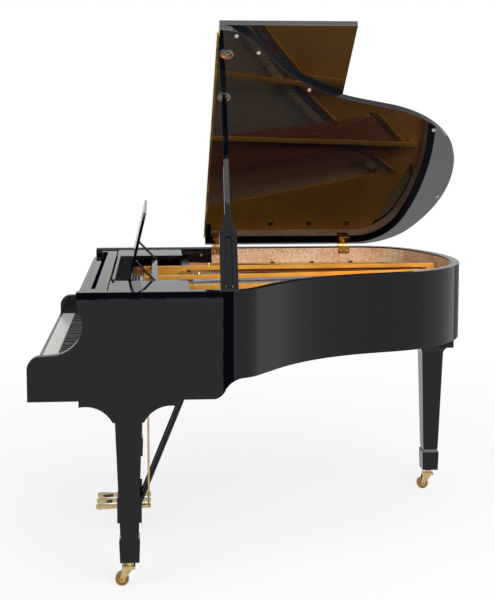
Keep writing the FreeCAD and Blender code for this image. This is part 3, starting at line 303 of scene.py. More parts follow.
@dataclass(frozen=True)
class FiguredVeneer(Finish):
    """Pommele veneer, sliced and varnished: a warm tan field covered in darker and paler flecks."""

    name: str = "figured_pommele_veneer"
    field_colours: tuple[str, str, str] = ("#a97c55", "#cfa783", "#ecd6bd")
    fleck_mm: float = 8.0
    cloud_mm: float = 90.0

    def shader(self, tree: bpy.types.NodeTree) -> bpy.types.Node:
        """Two sizes of distorted noise make flecks, and a wide one makes clouds.

        Args:
            tree: The node tree that gets the nodes.

        Returns:
            The shader node.
        """
        spot = add(tree, "ShaderNodeTexCoord").outputs["Object"]
        fleck = add(tree, "ShaderNodeTexNoise",
                    {"Scale": per_metre(self.fleck_mm), "Detail": 5.0, "Roughness": 0.65, "Distortion": 1.2},
                    {"Vector": spot})
        cloud = add(tree, "ShaderNodeTexNoise", {"Scale": per_metre(self.cloud_mm), "Detail": 2.0},
                    {"Vector": spot})
        mixed = add(tree, "ShaderNodeMath", {"operation": "MULTIPLY_ADD", 1: 0.35},
                    {0: cloud.outputs["Fac"], 2: fleck.outputs["Fac"]})
        tint = add(tree, "ShaderNodeValToRGB", {"stops": ramp(self.field_colours, (0.46, 0.62, 0.84))},
                   {"Fac": mixed.outputs["Value"]})
        rough = add(tree, "ShaderNodeMapRange", {"To Min": 0.22, "To Max": 0.34},
                    {"Value": fleck.outputs["Fac"]})
        bump = add(tree, "ShaderNodeBump", {"Strength": 0.05, "Distance": 0.001},
                   {"Height": fleck.outputs["Fac"]})
        return add(tree, "ShaderNodeBsdfPrincipled", {"IOR": 1.48},
                   {"Base Color": tint.outputs["Color"], "Roughness": rough.outputs["Result"],
                    "Normal": bump.outputs["Normal"]})


@dataclass(frozen=True)
class BronzedIron(Finish):
    """Sand-cast iron sprayed with gold bronze: metallic flake over a fine pebbled skin."""

    name: str = "gold_bronzed_cast_iron"
    colours: tuple[str, str] = ("#d48d29", "#ecae42")
    pebble_mm: float = 3.5
    cloud_mm: float = 160.0
    edge_mm: float = 3.0

    def shader(self, tree: bpy.types.NodeTree) -> bpy.types.Node:
        """Clouds shift the bronze, pebbles roughen it.

        Args:
            tree: The node tree that gets the nodes.

        Returns:
            The shader node.
        """
        spot = add(tree, "ShaderNodeTexCoord").outputs["Object"]
        cloud = add(tree, "ShaderNodeTexNoise", {"Scale": per_metre(self.cloud_mm), "Detail": 3.0},
                    {"Vector": spot})
        pebble = add(tree, "ShaderNodeTexNoise", {"Scale": per_metre(self.pebble_mm), "Detail": 2.0},
                     {"Vector": spot})
        tint = add(tree, "ShaderNodeValToRGB", {"stops": ramp(self.colours)},
                   {"Fac": cloud.outputs["Fac"]})
        rough = add(tree, "ShaderNodeMapRange", {"To Min": 0.3, "To Max": 0.5},
                    {"Value": pebble.outputs["Fac"]})
        edge = add(tree, "ShaderNodeBevel", {"samples": 4, "Radius": self.edge_mm * MM})
        bump = add(tree, "ShaderNodeBump", {"Strength": 0.15, "Distance": 0.001},
                   {"Height": pebble.outputs["Fac"], "Normal": edge.outputs["Normal"]})
        return add(tree, "ShaderNodeBsdfPrincipled", {"Metallic": 0.35},
                   {"Base Color": tint.outputs["Color"], "Roughness": rough.outputs["Result"],
                    "Normal": bump.outputs["Normal"]})


@dataclass(frozen=True)
class PlainWood(Finish):
    """Planed and varnished wood: straight year rings along one heading and short rays between them."""

    name: str
    colours: tuple[str, str]
    ring_mm: float
    ray_mm: float = 4.0
    heading_deg: float = 0.0
    rough: float = 0.4

    def shader(self, tree: bpy.types.NodeTree) -> bpy.types.Node:
        """Wave bands give the rings, stretched noise the rays.

        Args:
            tree: The node tree that gets the nodes.

        Returns:
            The shader node.
        """
        spot = add(tree, "ShaderNodeTexCoord").outputs["Object"]
        turned = add(tree, "ShaderNodeMapping", {"Rotation": (0.0, 0.0, math.radians(self.heading_deg))},
                     {"Vector": spot})
        rings = add(tree, "ShaderNodeTexWave",
                    {"Scale": per_metre(self.ring_mm) * WAVE_REPEAT, "Distortion": 1.6, "Detail": 2.0,
                     "Detail Scale": 0.6, "bands_direction": "X"}, {"Vector": turned.outputs["Vector"]})
        long = add(tree, "ShaderNodeMapping", {"Scale": (1.0, 0.06, 1.0)},
                   {"Vector": turned.outputs["Vector"]})
        rays = add(tree, "ShaderNodeTexNoise", {"Scale": per_metre(self.ray_mm), "Detail": 3.0},
                   {"Vector": long.outputs["Vector"]})
        mixed = add(tree, "ShaderNodeMath", {"operation": "MULTIPLY_ADD", 1: 0.5},
                    {0: rings.outputs["Fac"], 2: rays.outputs["Fac"]})
        tint = add(tree, "ShaderNodeValToRGB", {"stops": ramp(self.colours, (0.35, 1.0))},
                   {"Fac": mixed.outputs["Value"]})
        bump = add(tree, "ShaderNodeBump", {"Strength": 0.06, "Distance": 0.001},
                   {"Height": rays.outputs["Fac"]})
        return add(tree, "ShaderNodeBsdfPrincipled", {"Roughness": self.rough},
                   {"Base Color": tint.outputs["Color"], "Normal": bump.outputs["Normal"]})


@dataclass(frozen=True)
class BareMetal(Finish):
    """Turned, drawn or plated metal: bright, with wiping marks that change its roughness."""

    name: str
    colours: tuple[str, str]
    rough: tuple[float, float] = (0.1, 0.24)
    wipe_mm: float = 18.0
    edge_mm: float = 0.5

    def shader(self, tree: bpy.types.NodeTree) -> bpy.types.Node:
        """Noise tints the metal and varies its polish.

        Args:
            tree: The node tree that gets the nodes.

        Returns:
            The shader node.
        """
        spot = add(tree, "ShaderNodeTexCoord").outputs["Object"]
        wipe = add(tree, "ShaderNodeTexNoise", {"Scale": per_metre(self.wipe_mm), "Detail": 4.0},
                   {"Vector": spot})
        tint = add(tree, "ShaderNodeValToRGB", {"stops": ramp(self.colours)},
                   {"Fac": wipe.outputs["Fac"]})
        rough = add(tree, "ShaderNodeMapRange", {"To Min": self.rough[0], "To Max": self.rough[1]},
                    {"Value": wipe.outputs["Fac"]})
        edge = add(tree, "ShaderNodeBevel", {"samples": 4, "Radius": self.edge_mm * MM})
        return add(tree, "ShaderNodeBsdfPrincipled", {"Metallic": 1.0},
                   {"Base Color": tint.outputs["Color"], "Roughness": rough.outputs["Result"],
                    "Normal": edge.outputs["Normal"]})


@dataclass(frozen=True)
class CopperWinding(Finish):
    """Copper wire wound on steel: brown bright turns, drawn 6 mm apart so that they still show."""

    name: str = "copper_winding"
    colours: tuple[str, str] = ("#7c3a20", "#c07a4e")
    turn_mm: float = 6.0

    def shader(self, tree: bpy.types.NodeTree) -> bpy.types.Node:
        """Bands across the string tint and ridge it.

        Args:
            tree: The node tree that gets the nodes.

        Returns:
            The shader node.
        """
        spot = add(tree, "ShaderNodeTexCoord").outputs["Object"]
        turns = add(tree, "ShaderNodeTexWave",
                    {"Scale": per_metre(self.turn_mm) * WAVE_REPEAT, "bands_direction": "Y"},
                    {"Vector": spot})
        tint = add(tree, "ShaderNodeValToRGB", {"stops": ramp(self.colours, (0.2, 0.8))},
                   {"Fac": turns.outputs["Fac"]})
        bump = add(tree, "ShaderNodeBump", {"Strength": 0.4, "Distance": 0.0005},
                   {"Height": turns.outputs["Fac"]})
        return add(tree, "ShaderNodeBsdfPrincipled", {"Metallic": 1.0, "Roughness": 0.3},
                   {"Base Color": tint.outputs["Color"], "Normal": bump.outputs["Normal"]})


@dataclass(frozen=True)
class WoolFelt(Finish):
    """Pressed wool felt: matt, cloudy, with a soft nap that catches light at its edge."""

    name: str
    colours: tuple[str, str]
    nap_mm: float = 2.5
    sheen: float = 0.4
    gloss: float = 0.3

    def shader(self, tree: bpy.types.NodeTree) -> bpy.types.Node:
        """Fine noise gives the nap.

        Args:
            tree: The node tree that gets the nodes.

        Returns:
            The shader node.
        """
        spot = add(tree, "ShaderNodeTexCoord").outputs["Object"]
        nap = add(tree, "ShaderNodeTexNoise", {"Scale": per_metre(self.nap_mm), "Detail": 4.0},
                  {"Vector": spot})
        tint = add(tree, "ShaderNodeValToRGB", {"stops": ramp(self.colours)},
                   {"Fac": nap.outputs["Fac"]})
        bump = add(tree, "ShaderNodeBump", {"Strength": 0.5, "Distance": 0.0008},
                   {"Height": nap.outputs["Fac"]})
        return add(tree, "ShaderNodeBsdfPrincipled",
                   {"Roughness": 0.95, "Sheen Weight": self.sheen, "Sheen Roughness": 0.5,
                    "Specular IOR Level": self.gloss},
                   {"Base Color": tint.outputs["Color"], "Normal": bump.outputs["Normal"]})


@dataclass(frozen=True)
class TwoTone(Finish):
    """Two materials that meet at a plane, such as a moulded key cover and its planed wooden lever.

    The first lies below the limit on the axis and the second above it; the eye gets two sheens and one grain.
    """

    name: str
    first: tuple[str, str]
    second: tuple[str, str]
    axis: Axis
    limit: float
    rough: tuple[float, float]
    grain_mm: float = 6.0
    stretch: tuple[float, float, float] = (1.0, 0.08, 1.0)

    def shader(self, tree: bpy.types.NodeTree) -> bpy.types.Node:
        """A step on one coordinate chooses between two grained colours and their roughness.

        Args:
            tree: The node tree that gets the nodes.

        Returns:
            The shader node.
        """
        spot = add(tree, "ShaderNodeTexCoord").outputs["Object"]
        parts = add(tree, "ShaderNodeSeparateXYZ", links={"Vector": spot})
        step = add(tree, "ShaderNodeMath", {"operation": "GREATER_THAN", 1: self.limit},
                   {0: parts.outputs[self.axis.value]})
        long = add(tree, "ShaderNodeMapping", {"Scale": self.stretch}, {"Vector": spot})
        grain = add(tree, "ShaderNodeTexNoise", {"Scale": per_metre(self.grain_mm), "Detail": 3.0},
                    {"Vector": long.outputs["Vector"]})
        tints = [add(tree, "ShaderNodeValToRGB", {"stops": ramp(pair)}, {"Fac": grain.outputs["Fac"]})
                 for pair in (self.first, self.second)]
        mixed = add(tree, "ShaderNodeMix", {"data_type": "RGBA"},
                    {0: step.outputs["Value"], 6: tints[0].outputs["Color"], 7: tints[1].outputs["Color"]})
        rough = add(tree, "ShaderNodeMapRange", {"To Min": self.rough[0], "To Max": self.rough[1]},
                    {"Value": step.outputs["Value"]})
        bump = add(tree, "ShaderNodeBump", {"Strength": 0.04, "Distance": 0.0005},
                   {"Height": grain.outputs["Fac"]})
        return add(tree, "ShaderNodeBsdfPrincipled", {"IOR": 1.48},
                   {"Base Color": mixed.outputs[2], "Roughness": rough.outputs["Result"],
                    "Normal": bump.outputs["Normal"]})


# Where the keys' covers, the hammers' shanks and the dampers' felt end, in the case's millimetres.
COVER_END = 226.0
SHANK_END = 474.0
FELT_TOP = 954.5

LACQUER = PolishedLacquer()
LID_LACQUER = LidLacquer()
FLAP_LACQUER = LidLacquer("deep_buffed_flap_lacquer", underside_mm=-1286.6)
SATIN = SatinPaint()
VENEER = FiguredVeneer()
BRONZE = BronzedIron()
SPRUCE = PlainWood("quarter_sawn_spruce", ("#b98a55", "#e3c596"), ring_mm=10.0, heading_deg=-35.0, rough=0.32)
BEECH = PlainWood("steamed_beech", ("#a9774a", "#d0a574"), ring_mm=18.0, rough=0.45)
MAPLE = PlainWood("hard_maple", ("#b58e5e", "#dcbc8c"), ring_mm=14.0, rough=0.35)
BRASS = BareMetal("polished_brass", ("#b58f45", "#e0c580"))
PALE_BRASS = BareMetal("aged_pale_brass", ("#ad945f", "#cdb98a"), rough=(0.04, 0.13))
STEEL = BareMetal("drawn_piano_wire", ("#5f6164", "#8b8e91"), rough=(0.3, 0.45), edge_mm=0.1)
BLUED = BareMetal("blued_pin_steel", ("#33363c", "#63676d"), rough=(0.2, 0.36))
CHROME = BareMetal("chromed_steel", ("#c2c5c8", "#e2e4e6"), rough=(0.04, 0.12))
WINDING = CopperWinding()
BLUE_FELT = WoolFelt("blue_string_felt", ("#15203f", "#26376c"))
BAIZE = WoolFelt("black_baize", ("#060606", "#0e0e0f"), sheen=0.02, gloss=0.02)
# Moulded rubber is as matt as felt, with a finer skin.
BUMPER = WoolFelt("pale_rubber_button", ("#a3a3a0", "#bebebb"), nap_mm=1.5)
NATURAL = TwoTone("white_key_cover", ("#d6d5d0", "#e6e5e1"), ("#b98a58", "#d9b483"), Axis.DEPTH,
                  place((0.0, COVER_END, 0.0))[1], (0.14, 0.5))
SHARP = TwoTone("ebony_key", ("#0d0c0c", "#1b1918"), ("#b98a58", "#d9b483"), Axis.DEPTH,
                place((0.0, COVER_END, 0.0))[1], (0.3, 0.5))
HAMMER = TwoTone("hammer_felt_and_shank", ("#b98a58", "#d9b483"), ("#d8d2c2", "#ece7da"), Axis.DEPTH,
                 place((0.0, SHANK_END, 0.0))[1], (0.45, 0.95))
DAMPER = TwoTone("damper_head_and_felt", ("#d9d4c8", "#efebe2"), ("#0c0c0d", "#151516"), Axis.HEIGHT,
                 FELT_TOP * MM, (0.9, 0.15))
TREAD = BareMetal("turned_bronze_wheel", ("#78572a", "#a88246"), rough=(0.16, 0.32))

WEARS: dict[Finish, tuple[str, ...]] = {
    LACQUER: ("rim", "side_panels", "key_slip", "key_blocks", "leg_treble", "leg_bass", "leg_tail",
              "leg_brackets", "tail_leg_block", "lyre_box", "lyre_frame", "lyre_braces", "desk_frame",
              "music_desk", "desk_struts", "front_board", "fallboard", "half_prop", "lid_prop"),
    LID_LACQUER: ("lid",),
    FLAP_LACQUER: ("lid_flap",),
    SATIN: ("keybed", "prop_bracket"),
    VENEER: ("rim_veneer",),
    BRONZE: ("iron_plate",),
    SPRUCE: ("soundboard", "soundboard_ribs", "rim_braces"),
    BEECH: ("inner_rim", "belly_rail", "pin_block", "key_frame", "action_frame"),
    MAPLE: ("bridges",),
    BLUED: ("tuning_pins",),
    STEEL: ("plain_strings",),
    WINDING: ("bass_strings",),
    DAMPER: ("dampers",),
    NATURAL: ("natural_keys",),
    SHARP: ("sharp_keys",),
    HAMMER: ("natural_hammers", "sharp_hammers"),
    BRASS: ("lid_hinge_case_leaves", "lid_hinge_lid_leaves", "fold_hinge_lid_leaf", "fold_hinge_flap_leaf"),
    PALE_BRASS: ("pedal_left", "pedal_middle", "pedal_right", "pedal_rod_left", "pedal_rod_middle",
                 "pedal_rod_right", "caster_fork_treble", "caster_fork_bass", "caster_fork_tail"),
    TREAD: ("caster_wheel_treble", "caster_wheel_bass", "caster_wheel_tail"),
    BUMPER: ("lid_bumpers",),
    CHROME: ("prop_cups",),
}


def dress_parts() -> None:
    """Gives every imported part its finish."""
    for finish, names in WEARS.items():
        for name in names:
            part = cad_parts[name]
            part.data.materials.clear()
            part.data.materials.append(finish.material())
    LOG.info("dressed %d parts", sum(len(names) for names in WEARS.values()))


def tube(points: np.ndarray, flipped: bool = False) -> Mesh:
    """Closes a grid of rings into a solid, with a face between neighbours and one over each end.

    Args:
        points: Rings by points by coordinates.
        flipped: Whether the rings run the other way round, so that the faces turn too.

    Returns:
        Vertices and faces.
    """
    rows, count = points.shape[:2]
    i, j = np.meshgrid(np.arange(rows - 1), np.arange(count), indexing="ij")
    k = (j + 1) % count
    quads = np.stack([i * count + j, i * count + k, (i + 1) * count + k, (i + 1) * count + j], axis=-1)
    first, last = np.arange(count), np.arange(count) + (rows - 1) * count
    caps = [first[::-1], last]
    if flipped:
        quads, caps = quads[..., [0, 3, 2, 1]], [first, last[::-1]]
    faces = quads.reshape(-1, 4).tolist() + [cap.tolist() for cap in caps]
    return points.reshape(-1, 3), [tuple(face) for face in faces]


def lathe(profile_mm: Sequence[tuple[float, float]], sides: int) -> Mesh:
    """Turns a profile about Z.

    The point on side j of ring i is (r_i cos a_j, r_i sin a_j, z_i), with both ends closed by a face.

    Args:
        profile_mm: Radius and height of each ring in millimetres.
        sides: Points round each ring.

    Returns:
        Vertices and faces in metres.
    """
    radius, height = np.asarray(profile_mm, dtype=float).T[:, :, None] * MM
    angles = np.arange(sides) * 2 * np.pi / sides
    rings = np.broadcast_arrays(radius * np.cos(angles), radius * np.sin(angles), height)
    return tube(np.stack(rings, axis=2))


def slotted_head(radius: float, height: float, rings: int = 9, sides: int = 28, hub: float = 0.02,
                 crown: float = 0.8, slot: tuple[float, float] = (0.16, 0.45)) -> Mesh:
    """A screw head with a slot.

    The head is a polar grid: height times the root of 1 - crown r^2, less a slot where |y| is small.

    Args:
        radius: Head radius in metres.
        height: Height of the crown in metres.
        rings: Rings from the middle to the edge.
        sides: Points round each ring.
        hub: Radius of the first ring, in radii of the head.
        crown: How far the head rounds off towards its edge.
        slot: Half width of the slot in radii and its depth in heights.

    Returns:
        Vertices and faces, with the rim carried down to Z = 0.
    """
    share = np.concatenate([np.linspace(hub, 1.0, rings), [1.0]])[:, None]
    angles = np.arange(sides) * 2 * np.pi / sides
    x, y = share * np.cos(angles), share * np.sin(angles)
    z = height * np.sqrt(1.0 - crown * share ** 2) * np.ones_like(x)
    z = np.where(np.abs(y) < slot[0], z - slot[1] * height, z)
    z[-1] = 0.0
    return tube(np.stack([x * radius, y * radius, z], axis=2), flipped=True)


def swept_bar(path: np.ndarray, section_mm: tuple[float, float], crown: float, sides: int = 12) -> Mesh:
    """A soft bar lying on a path: a super-elliptic profile carried along it.

    The profile point at angle a is (w |cos a|^c sign, h |sin a|^c sign), raised to stand on the path.

    Args:
        path: Points along the bar's underside, in metres.
        section_mm: Width and height of the bar in millimetres.
        crown: Power of the profile; small is square, one is an ellipse.
        sides: Points round the profile.

    Returns:
        Vertices and faces.
    """
    width, height = section_mm[0] * MM, section_mm[1] * MM
    angles = np.arange(sides) * 2 * np.pi / sides + np.pi / sides
    across = np.sign(np.cos(angles)) * np.abs(np.cos(angles)) ** crown * width / 2
    up = np.sign(np.sin(angles)) * np.abs(np.sin(angles)) ** crown * height / 2 + height / 2
    along = np.gradient(path, axis=0)
    side = np.stack([-along[:, 1], along[:, 0], np.zeros(len(path))], axis=1)
    side /= np.linalg.norm(side, axis=1, keepdims=True)
    return tube(path[:, None] + side[:, None] * across[None, :, None] + up[None, :, None] * UP)


def coil(radius: float, wire: float, pitch: float, turns: int, steps: int = 8, sides: int = 4) -> Mesh:
    """A wire wound round a pin.

    The centre line is (r cos t, r sin t, pitch t / 2 pi), and the wire's sides are carried along it.

    Args:
        radius: Radius of the centre line.
        wire: Radius of the wire.
        pitch: Rise of each turn.
        turns: How many turns.
        steps: Points along each turn.
        sides: Points round the wire.

    Returns:
        Vertices and faces.
    """
    t = np.linspace(0.0, 2 * np.pi * turns, steps * turns + 1)
    outward = np.stack([np.cos(t), np.sin(t), np.zeros_like(t)], axis=1)
    centre = outward * radius + (pitch * t / (2 * np.pi))[:, None] * UP
    angles = (np.arange(sides) * 2 * np.pi / sides)[None, :, None]
    points = centre[:, None] + wire * np.cos(angles) * outward[:, None] + wire * np.sin(angles) * UP
    return tube(points, flipped=True)


def soft_sheet(corner: Sequence[float], size: tuple[float, float], thickness: float, points: int = 17,
               power: int = 16) -> Mesh:
    """A thin cloth with rounded edges lying on a plane.

    The top at share (u, v) is thickness (1 - u^power)(1 - v^power), with u and v from -1 to 1 across it.

    Args:
        corner: Lowest corner of the sheet on the plane it lies on.
        size: Its extent in X and Y.
        thickness: Its height in the middle.
        points: Points along each side, closer together at the edges.
        power: How late the edge rounds off.

    Returns:
        Vertices and faces, with a flat underside.
    """
    share = np.sin(np.linspace(-np.pi / 2, np.pi / 2, points))
    u, v = np.meshgrid(share, share, indexing="ij")
    x = corner[0] + size[0] * (u + 1) / 2
    y = corner[1] + size[1] * (v + 1) / 2
    top = np.stack([x, y, corner[2] + thickness * (1 - u ** power) * (1 - v ** power)], axis=2)
    under = np.stack([x, y, np.full_like(x, corner[2])], axis=2)
    i, j = np.meshgrid(np.arange(points - 1), np.arange(points - 1), indexing="ij")
    near, far = i * points + j, (i + 1) * points + j
    upper = np.stack([near, far, far + 1, near + 1], axis=-1).reshape(-1, 4)
    faces = np.concatenate([upper, upper[:, ::-1] + points * points])
    return np.concatenate([top, under]).reshape(-1, 3), [tuple(face) for face in faces.tolist()]


def repeated(mesh: Mesh, spots: np.ndarray, axes: Optional[np.ndarray] = None) -> Mesh:
    """Copies a shape to many places.

    Each copy is the shape times its 3 by 3 axes, plus its spot.

    Args:
        mesh: Vertices and faces of the shape.
        spots: One point for each copy.
        axes: One matrix of column axes for each copy, upright if left out.

    Returns:
        Vertices and faces of all copies.
    """
    vertices, faces = mesh
    turns = np.broadcast_to(np.eye(3), (len(spots), 3, 3)) if axes is None else axes
    points = np.einsum("nij,vj->nvi", turns, vertices) + spots[:, None]
    count = len(vertices)
    copies = [tuple(index + count * copy for index in face) for copy in range(len(spots)) for face in faces]
    return points.reshape(-1, 3), copies


def facing(normals: np.ndarray, steep: float = 0.9) -> np.ndarray:
    """Column axes whose third axis is the given normal.

    The first axis is the cross product of a helper, X or Y, with the normal.

    Args:
        normals: One normal for each copy.
        steep: How far along Y a unit normal may point before X is the helper.

    Returns:
        A 3 by 3 matrix for each normal.
    """
    third = normals / np.linalg.norm(normals, axis=1, keepdims=True)
    helper = np.where(np.abs(third[:, 1:2]) > steep, np.array([[1.0, 0, 0]]), np.array([[0, 1.0, 0]]))
    first = np.cross(helper, third)
    first /= np.linalg.norm(first, axis=1, keepdims=True)
    return np.stack([first, np.cross(third, first), third], axis=2)


def piece(name: str, mesh: Mesh, finish: Finish, stock: Slot, carrier: Body = Body.CASE,
          smooth: bool = True) -> None:
    """Makes an object of a mesh, dresses it and lets it ride on a body.

    Args:
        name: Name of the piece.
        mesh: Vertices and faces in the part's frame.
        finish: What the piece wears.
        stock: The record's material slot; not used.
        carrier: The body that carries the piece.
        smooth: Whether faces are shaded smooth.
    """
    body, slot = carrier.value, stock.value
    data = bpy.data.meshes.new(name)
    data.from_pydata(mesh[0].tolist(), [], mesh[1])
    data.polygons.foreach_set("use_smooth", np.full(len(data.polygons), smooth))
    data.materials.append(finish.material())
    data.update()
    made = shown(name, data)
    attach(made, body)
    LOG.info("%s: %d faces on %s", name, len(data.polygons), body)


@dataclass(frozen=True)
class StringScale:
    """Where every string runs, in millimetres with Y = 0 at the front of the arms.

    Pairs of values are for the bass and for the treble. Each step is the change over the bass.
    """

    notes: int = 88
    bass_notes: int = 26
    single_notes: int = 10
    first_note: float = -600.0
    span: float = 1200.0
    breaks: tuple[tuple[int, float], ...] = ((25, 84.0), (47, 30.0), (68, 30.0))
    start_line: float = 425.0
    bass_lean: float = 14.0
    bass_lean_step: float = 6.0
    tenor_lean: float = 12.0
    bass_length: float = 1100.0
    bass_length_step: float = 170.0
    tenor_length: float = 1000.0
    treble_length: float = 170.0
    plate_top: float = 940.0
    heights: tuple[float, float] = (958.0, 948.0)
    spacings: tuple[float, float] = (5.2, 3.6)
    pin_line: float = 296.0
    pin_row: float = 24.0
    tail: float = 30.0

    def strings(self) -> Strings:
        """Works out all strings at once.

        Lean and length change evenly over the bass, and over the treble the length falls by equal ratios.

        Returns:
            Arrays of note, number in its note, direction, length to the bridge, start point and bass or not.
        """
        note = np.arange(self.notes)
        pitch = (self.span - sum(size for _, size in self.breaks)) / (self.notes - 1)
        x = self.first_note + pitch * note + sum(size * (note > last) for last, size in self.breaks)
        bass = note < self.bass_notes
        low = note / (self.bass_notes - 1)
        high = (note - self.bass_notes) / (self.notes - 1 - self.bass_notes)
        lean = np.radians(np.where(bass, self.bass_lean - self.bass_lean_step * low,
                                   -self.tenor_lean * (1 - high)))
        length = np.where(bass, self.bass_length - self.bass_length_step * low,
                          self.treble_length * (self.tenor_length / self.treble_length) ** (1 - high))
        count = np.where(note < self.single_notes, 1, np.where(bass, 2, 3))
        group = np.repeat(note, count)
        number = np.concatenate([np.arange(size) for size in count])
        offset = (number - (count[group] - 1) / 2) * np.where(bass, *self.spacings)[group]
        direction = np.stack([np.sin(lean), np.cos(lean), 0 * lean], axis=1)[group]
        side = np.stack([direction[:, 1], -direction[:, 0], 0 * offset], axis=1)
        height = np.where(bass, *self.heights)[group]
        start = np.stack([x[group], np.full(len(group), self.start_line), height], axis=1)
        return {"note": group, "number": number, "direction": direction, "length": length[group],
                "start": start + side * offset[:, None], "bass": bass[group]}

    def at_line(self, strings: Strings, y: np.ndarray) -> np.ndarray:
        """Points where the strings cross lines across the case."""
        run = (y - strings["start"][:, 1]) / strings["direction"][:, 1]
        return strings["start"] + strings["direction"] * run[:, None]

    def past_bridge(self, strings: Strings, chosen: np.ndarray, reach: float) -> np.ndarray:
        """Points on the plate under the chosen strings, or in line with them, past their bridge.

        Args:
            strings: All strings.
            chosen: Which of them.
            reach: How far past the bridge.

        Returns:
            One point for each chosen string.
        """
        run = strings["length"][chosen] + reach
        points = strings["start"][chosen] + strings["direction"][chosen] * run[:, None]
        points[:, 2] = self.plate_top
        return points


@dataclass(frozen=True)
class StringTrim:
    """Small metal and felt work on the strings: coils, agraffes, string tails, hitch pins, felt and ribs.

    Sizes are in millimetres, and pairs named reach are for the bass and for the treble. A coil's pitch is in
    wire radii, an agraffe's head is measured from its top, and a tail's shares are of its length.
    """

    scale: StringScale = StringScale()
    pin_radius: float = 2.6
    coil_wire: float = 0.7
    coil_turns: int = 3
    coil_pitch: float = 2.1
    agraffe_line: float = 388.0
    agraffe_over: float = 4.0
    agraffe_foot: Profile = ((3.4, 0.0), (3.4, 2.2), (2.4, 3.0))
    agraffe_head: Profile = ((4.2, -6.0), (4.6, -3.0), (3.6, 0.0))
    agraffe_sides: int = 10
    tail_overlap: float = 1.0
    tail_shape: Profile = ((0.6, 0.0), (0.6, 0.55), (1.0, 0.6), (1.0, 0.94), (0.6, 1.0))
    tail_sides: int = 5
    hitch_reach: tuple[float, float] = (46.0, 80.0)
    hitch_over: float = 3.0
    hitch_radii: tuple[float, float] = (1.4, 0.8)
    hitch_tip: float = 1.0
    hitch_sides: int = 6
    felt_line: float = 374.0
    felt_ends: tuple[float, float] = (-610.0, 612.0)
    felt_points: int = 90
    felt_wander: float = 0.6
    felt_wave: float = 23.0
    felt_sections: tuple[tuple[float, float], tuple[float, float]] = ((9.0, 6.6), (8.0, 6.8))
    felt_crown: float = 0.5
    felt_reach: float = 72.0
    rib_reach: tuple[float, float] = (62.0, 100.0)
    rib_section: tuple[float, float] = (12.0, 7.0)
    rib_crown: float = 0.6

    def build(self) -> None:
        """Builds every piece of the trim."""
        strings = self.scale.strings()
        groups = (("bass", 0, strings["bass"]), ("treble", 1, ~strings["bass"]))
        self.coils(strings)
        for group, index, chosen in groups:
            self.agraffes(strings, group, index, chosen)
        for group, index, chosen in groups:
            self.hitch_pins(strings, group, index, chosen)
        self.felts(strings)
        for group, index, chosen in groups:
            path = self.scale.past_bridge(strings, chosen & (strings["number"] == 0), self.rib_reach[index])
            rib = swept_bar(place(path), self.rib_section, self.rib_crown)
            piece(group + "_plate_rib", rib, BRONZE, Slot.IRON)

    def coils(self, strings: Strings) -> None:
        """Winds turns of wire round every tuning pin.

        Args:
            strings: All strings.
        """
        rows = (self.scale.pin_line + self.scale.pin_row * strings["number"]
                + self.scale.pin_row * (strings["note"] % 2) / 2)
        feet = self.scale.at_line(strings, rows)
        feet[:, 2] -= 2 * self.coil_wire
        wire = self.coil_wire * MM
        shape = coil(self.pin_radius * MM + wire, wire, self.coil_pitch * wire, self.coil_turns)
        piece("tuning_pin_coils", repeated(shape, place(feet)), STEEL, Slot.STRING)

    def agraffes(self, strings: Strings, group: str, index: int, chosen: np.ndarray) -> None:
        """Stands a brass stud on the plate where each note's strings pass, in the middle of them.

        Args:
            strings: All strings.
            group: Name of the group.
            index: Number of the group in the pairs of sizes.
            chosen: The group's strings.
        """
        first = np.unique(strings["note"], return_index=True)[1]
        crossings = self.scale.at_line(strings, np.full(len(strings["note"]), self.agraffe_line))
        counts = np.diff(np.append(first, len(strings["note"])))
        spots = (np.add.reduceat(crossings, first) / counts[:, None])[chosen[first]]
        spots[:, 2] = self.scale.plate_top
        top = self.scale.heights[index] - self.scale.plate_top + self.agraffe_over
        head = tuple((radius, top + drop) for radius, drop in self.agraffe_head)
        shape = lathe(self.agraffe_foot + head, self.agraffe_sides)
        piece(group + "_agraffes", repeated(shape, place(spots)), BRASS, Slot.BRASS)

    def hitch_pins(self, strings: Strings, group: str, index: int, chosen: np.ndarray) -> None:
        """Sets a steel pin in the plate past every bridge and ties the string to it with a twisted eye.

        Args:
            strings: All strings.
            group: Name of the group.
            index: Number of the group in the pairs of sizes.
            chosen: The group's strings.
        """
        heading = strings["direction"][chosen]
        reach = self.hitch_reach[index]
        begin = self.scale.tail - self.tail_overlap
        tails = self.scale.past_bridge(strings, chosen, begin)
        tails[:, 2] = self.scale.heights[index]
        profile = [(radius, share * (reach - begin)) for radius, share in self.tail_shape]
        shape = lathe(profile, self.tail_sides)
        piece(group + "_string_tails", repeated(shape, place(tails), facing(heading)), STEEL, Slot.STRING)
        feet = self.scale.past_bridge(strings, chosen, reach)
        tall = self.scale.heights[index] + self.hitch_over - self.scale.plate_top
        wide, tip = self.hitch_radii
        shape = lathe([(wide, 0.0), (wide, tall - self.hitch_tip), (tip, tall)], self.hitch_sides)
        piece(group + "_hitch_pins", repeated(shape, place(feet)), STEEL, Slot.PIN)

    def felts(self, strings: Strings) -> None:
        """Lays blue felt under the strings on the pin panel and behind the long bridge.

        The front strip wanders by a small sine along X.

        Args:
            strings: All strings.
        """
        x = np.linspace(*self.felt_ends, self.felt_points)
        wander = self.felt_line + self.felt_wander * np.sin(x / self.felt_wave)
        front = np.stack([x, wander, np.full_like(x, self.scale.plate_top)], axis=1)
        middle = ~strings["bass"] & (strings["number"] == 1)
        back = self.scale.past_bridge(strings, middle, self.felt_reach)
        for name, path, section in zip(("pin_panel_felt", "back_length_felt"), (front, back),
                                       self.felt_sections):
            piece(name, swept_bar(place(path), section, self.felt_crown), BLUE_FELT, Slot.FELT)


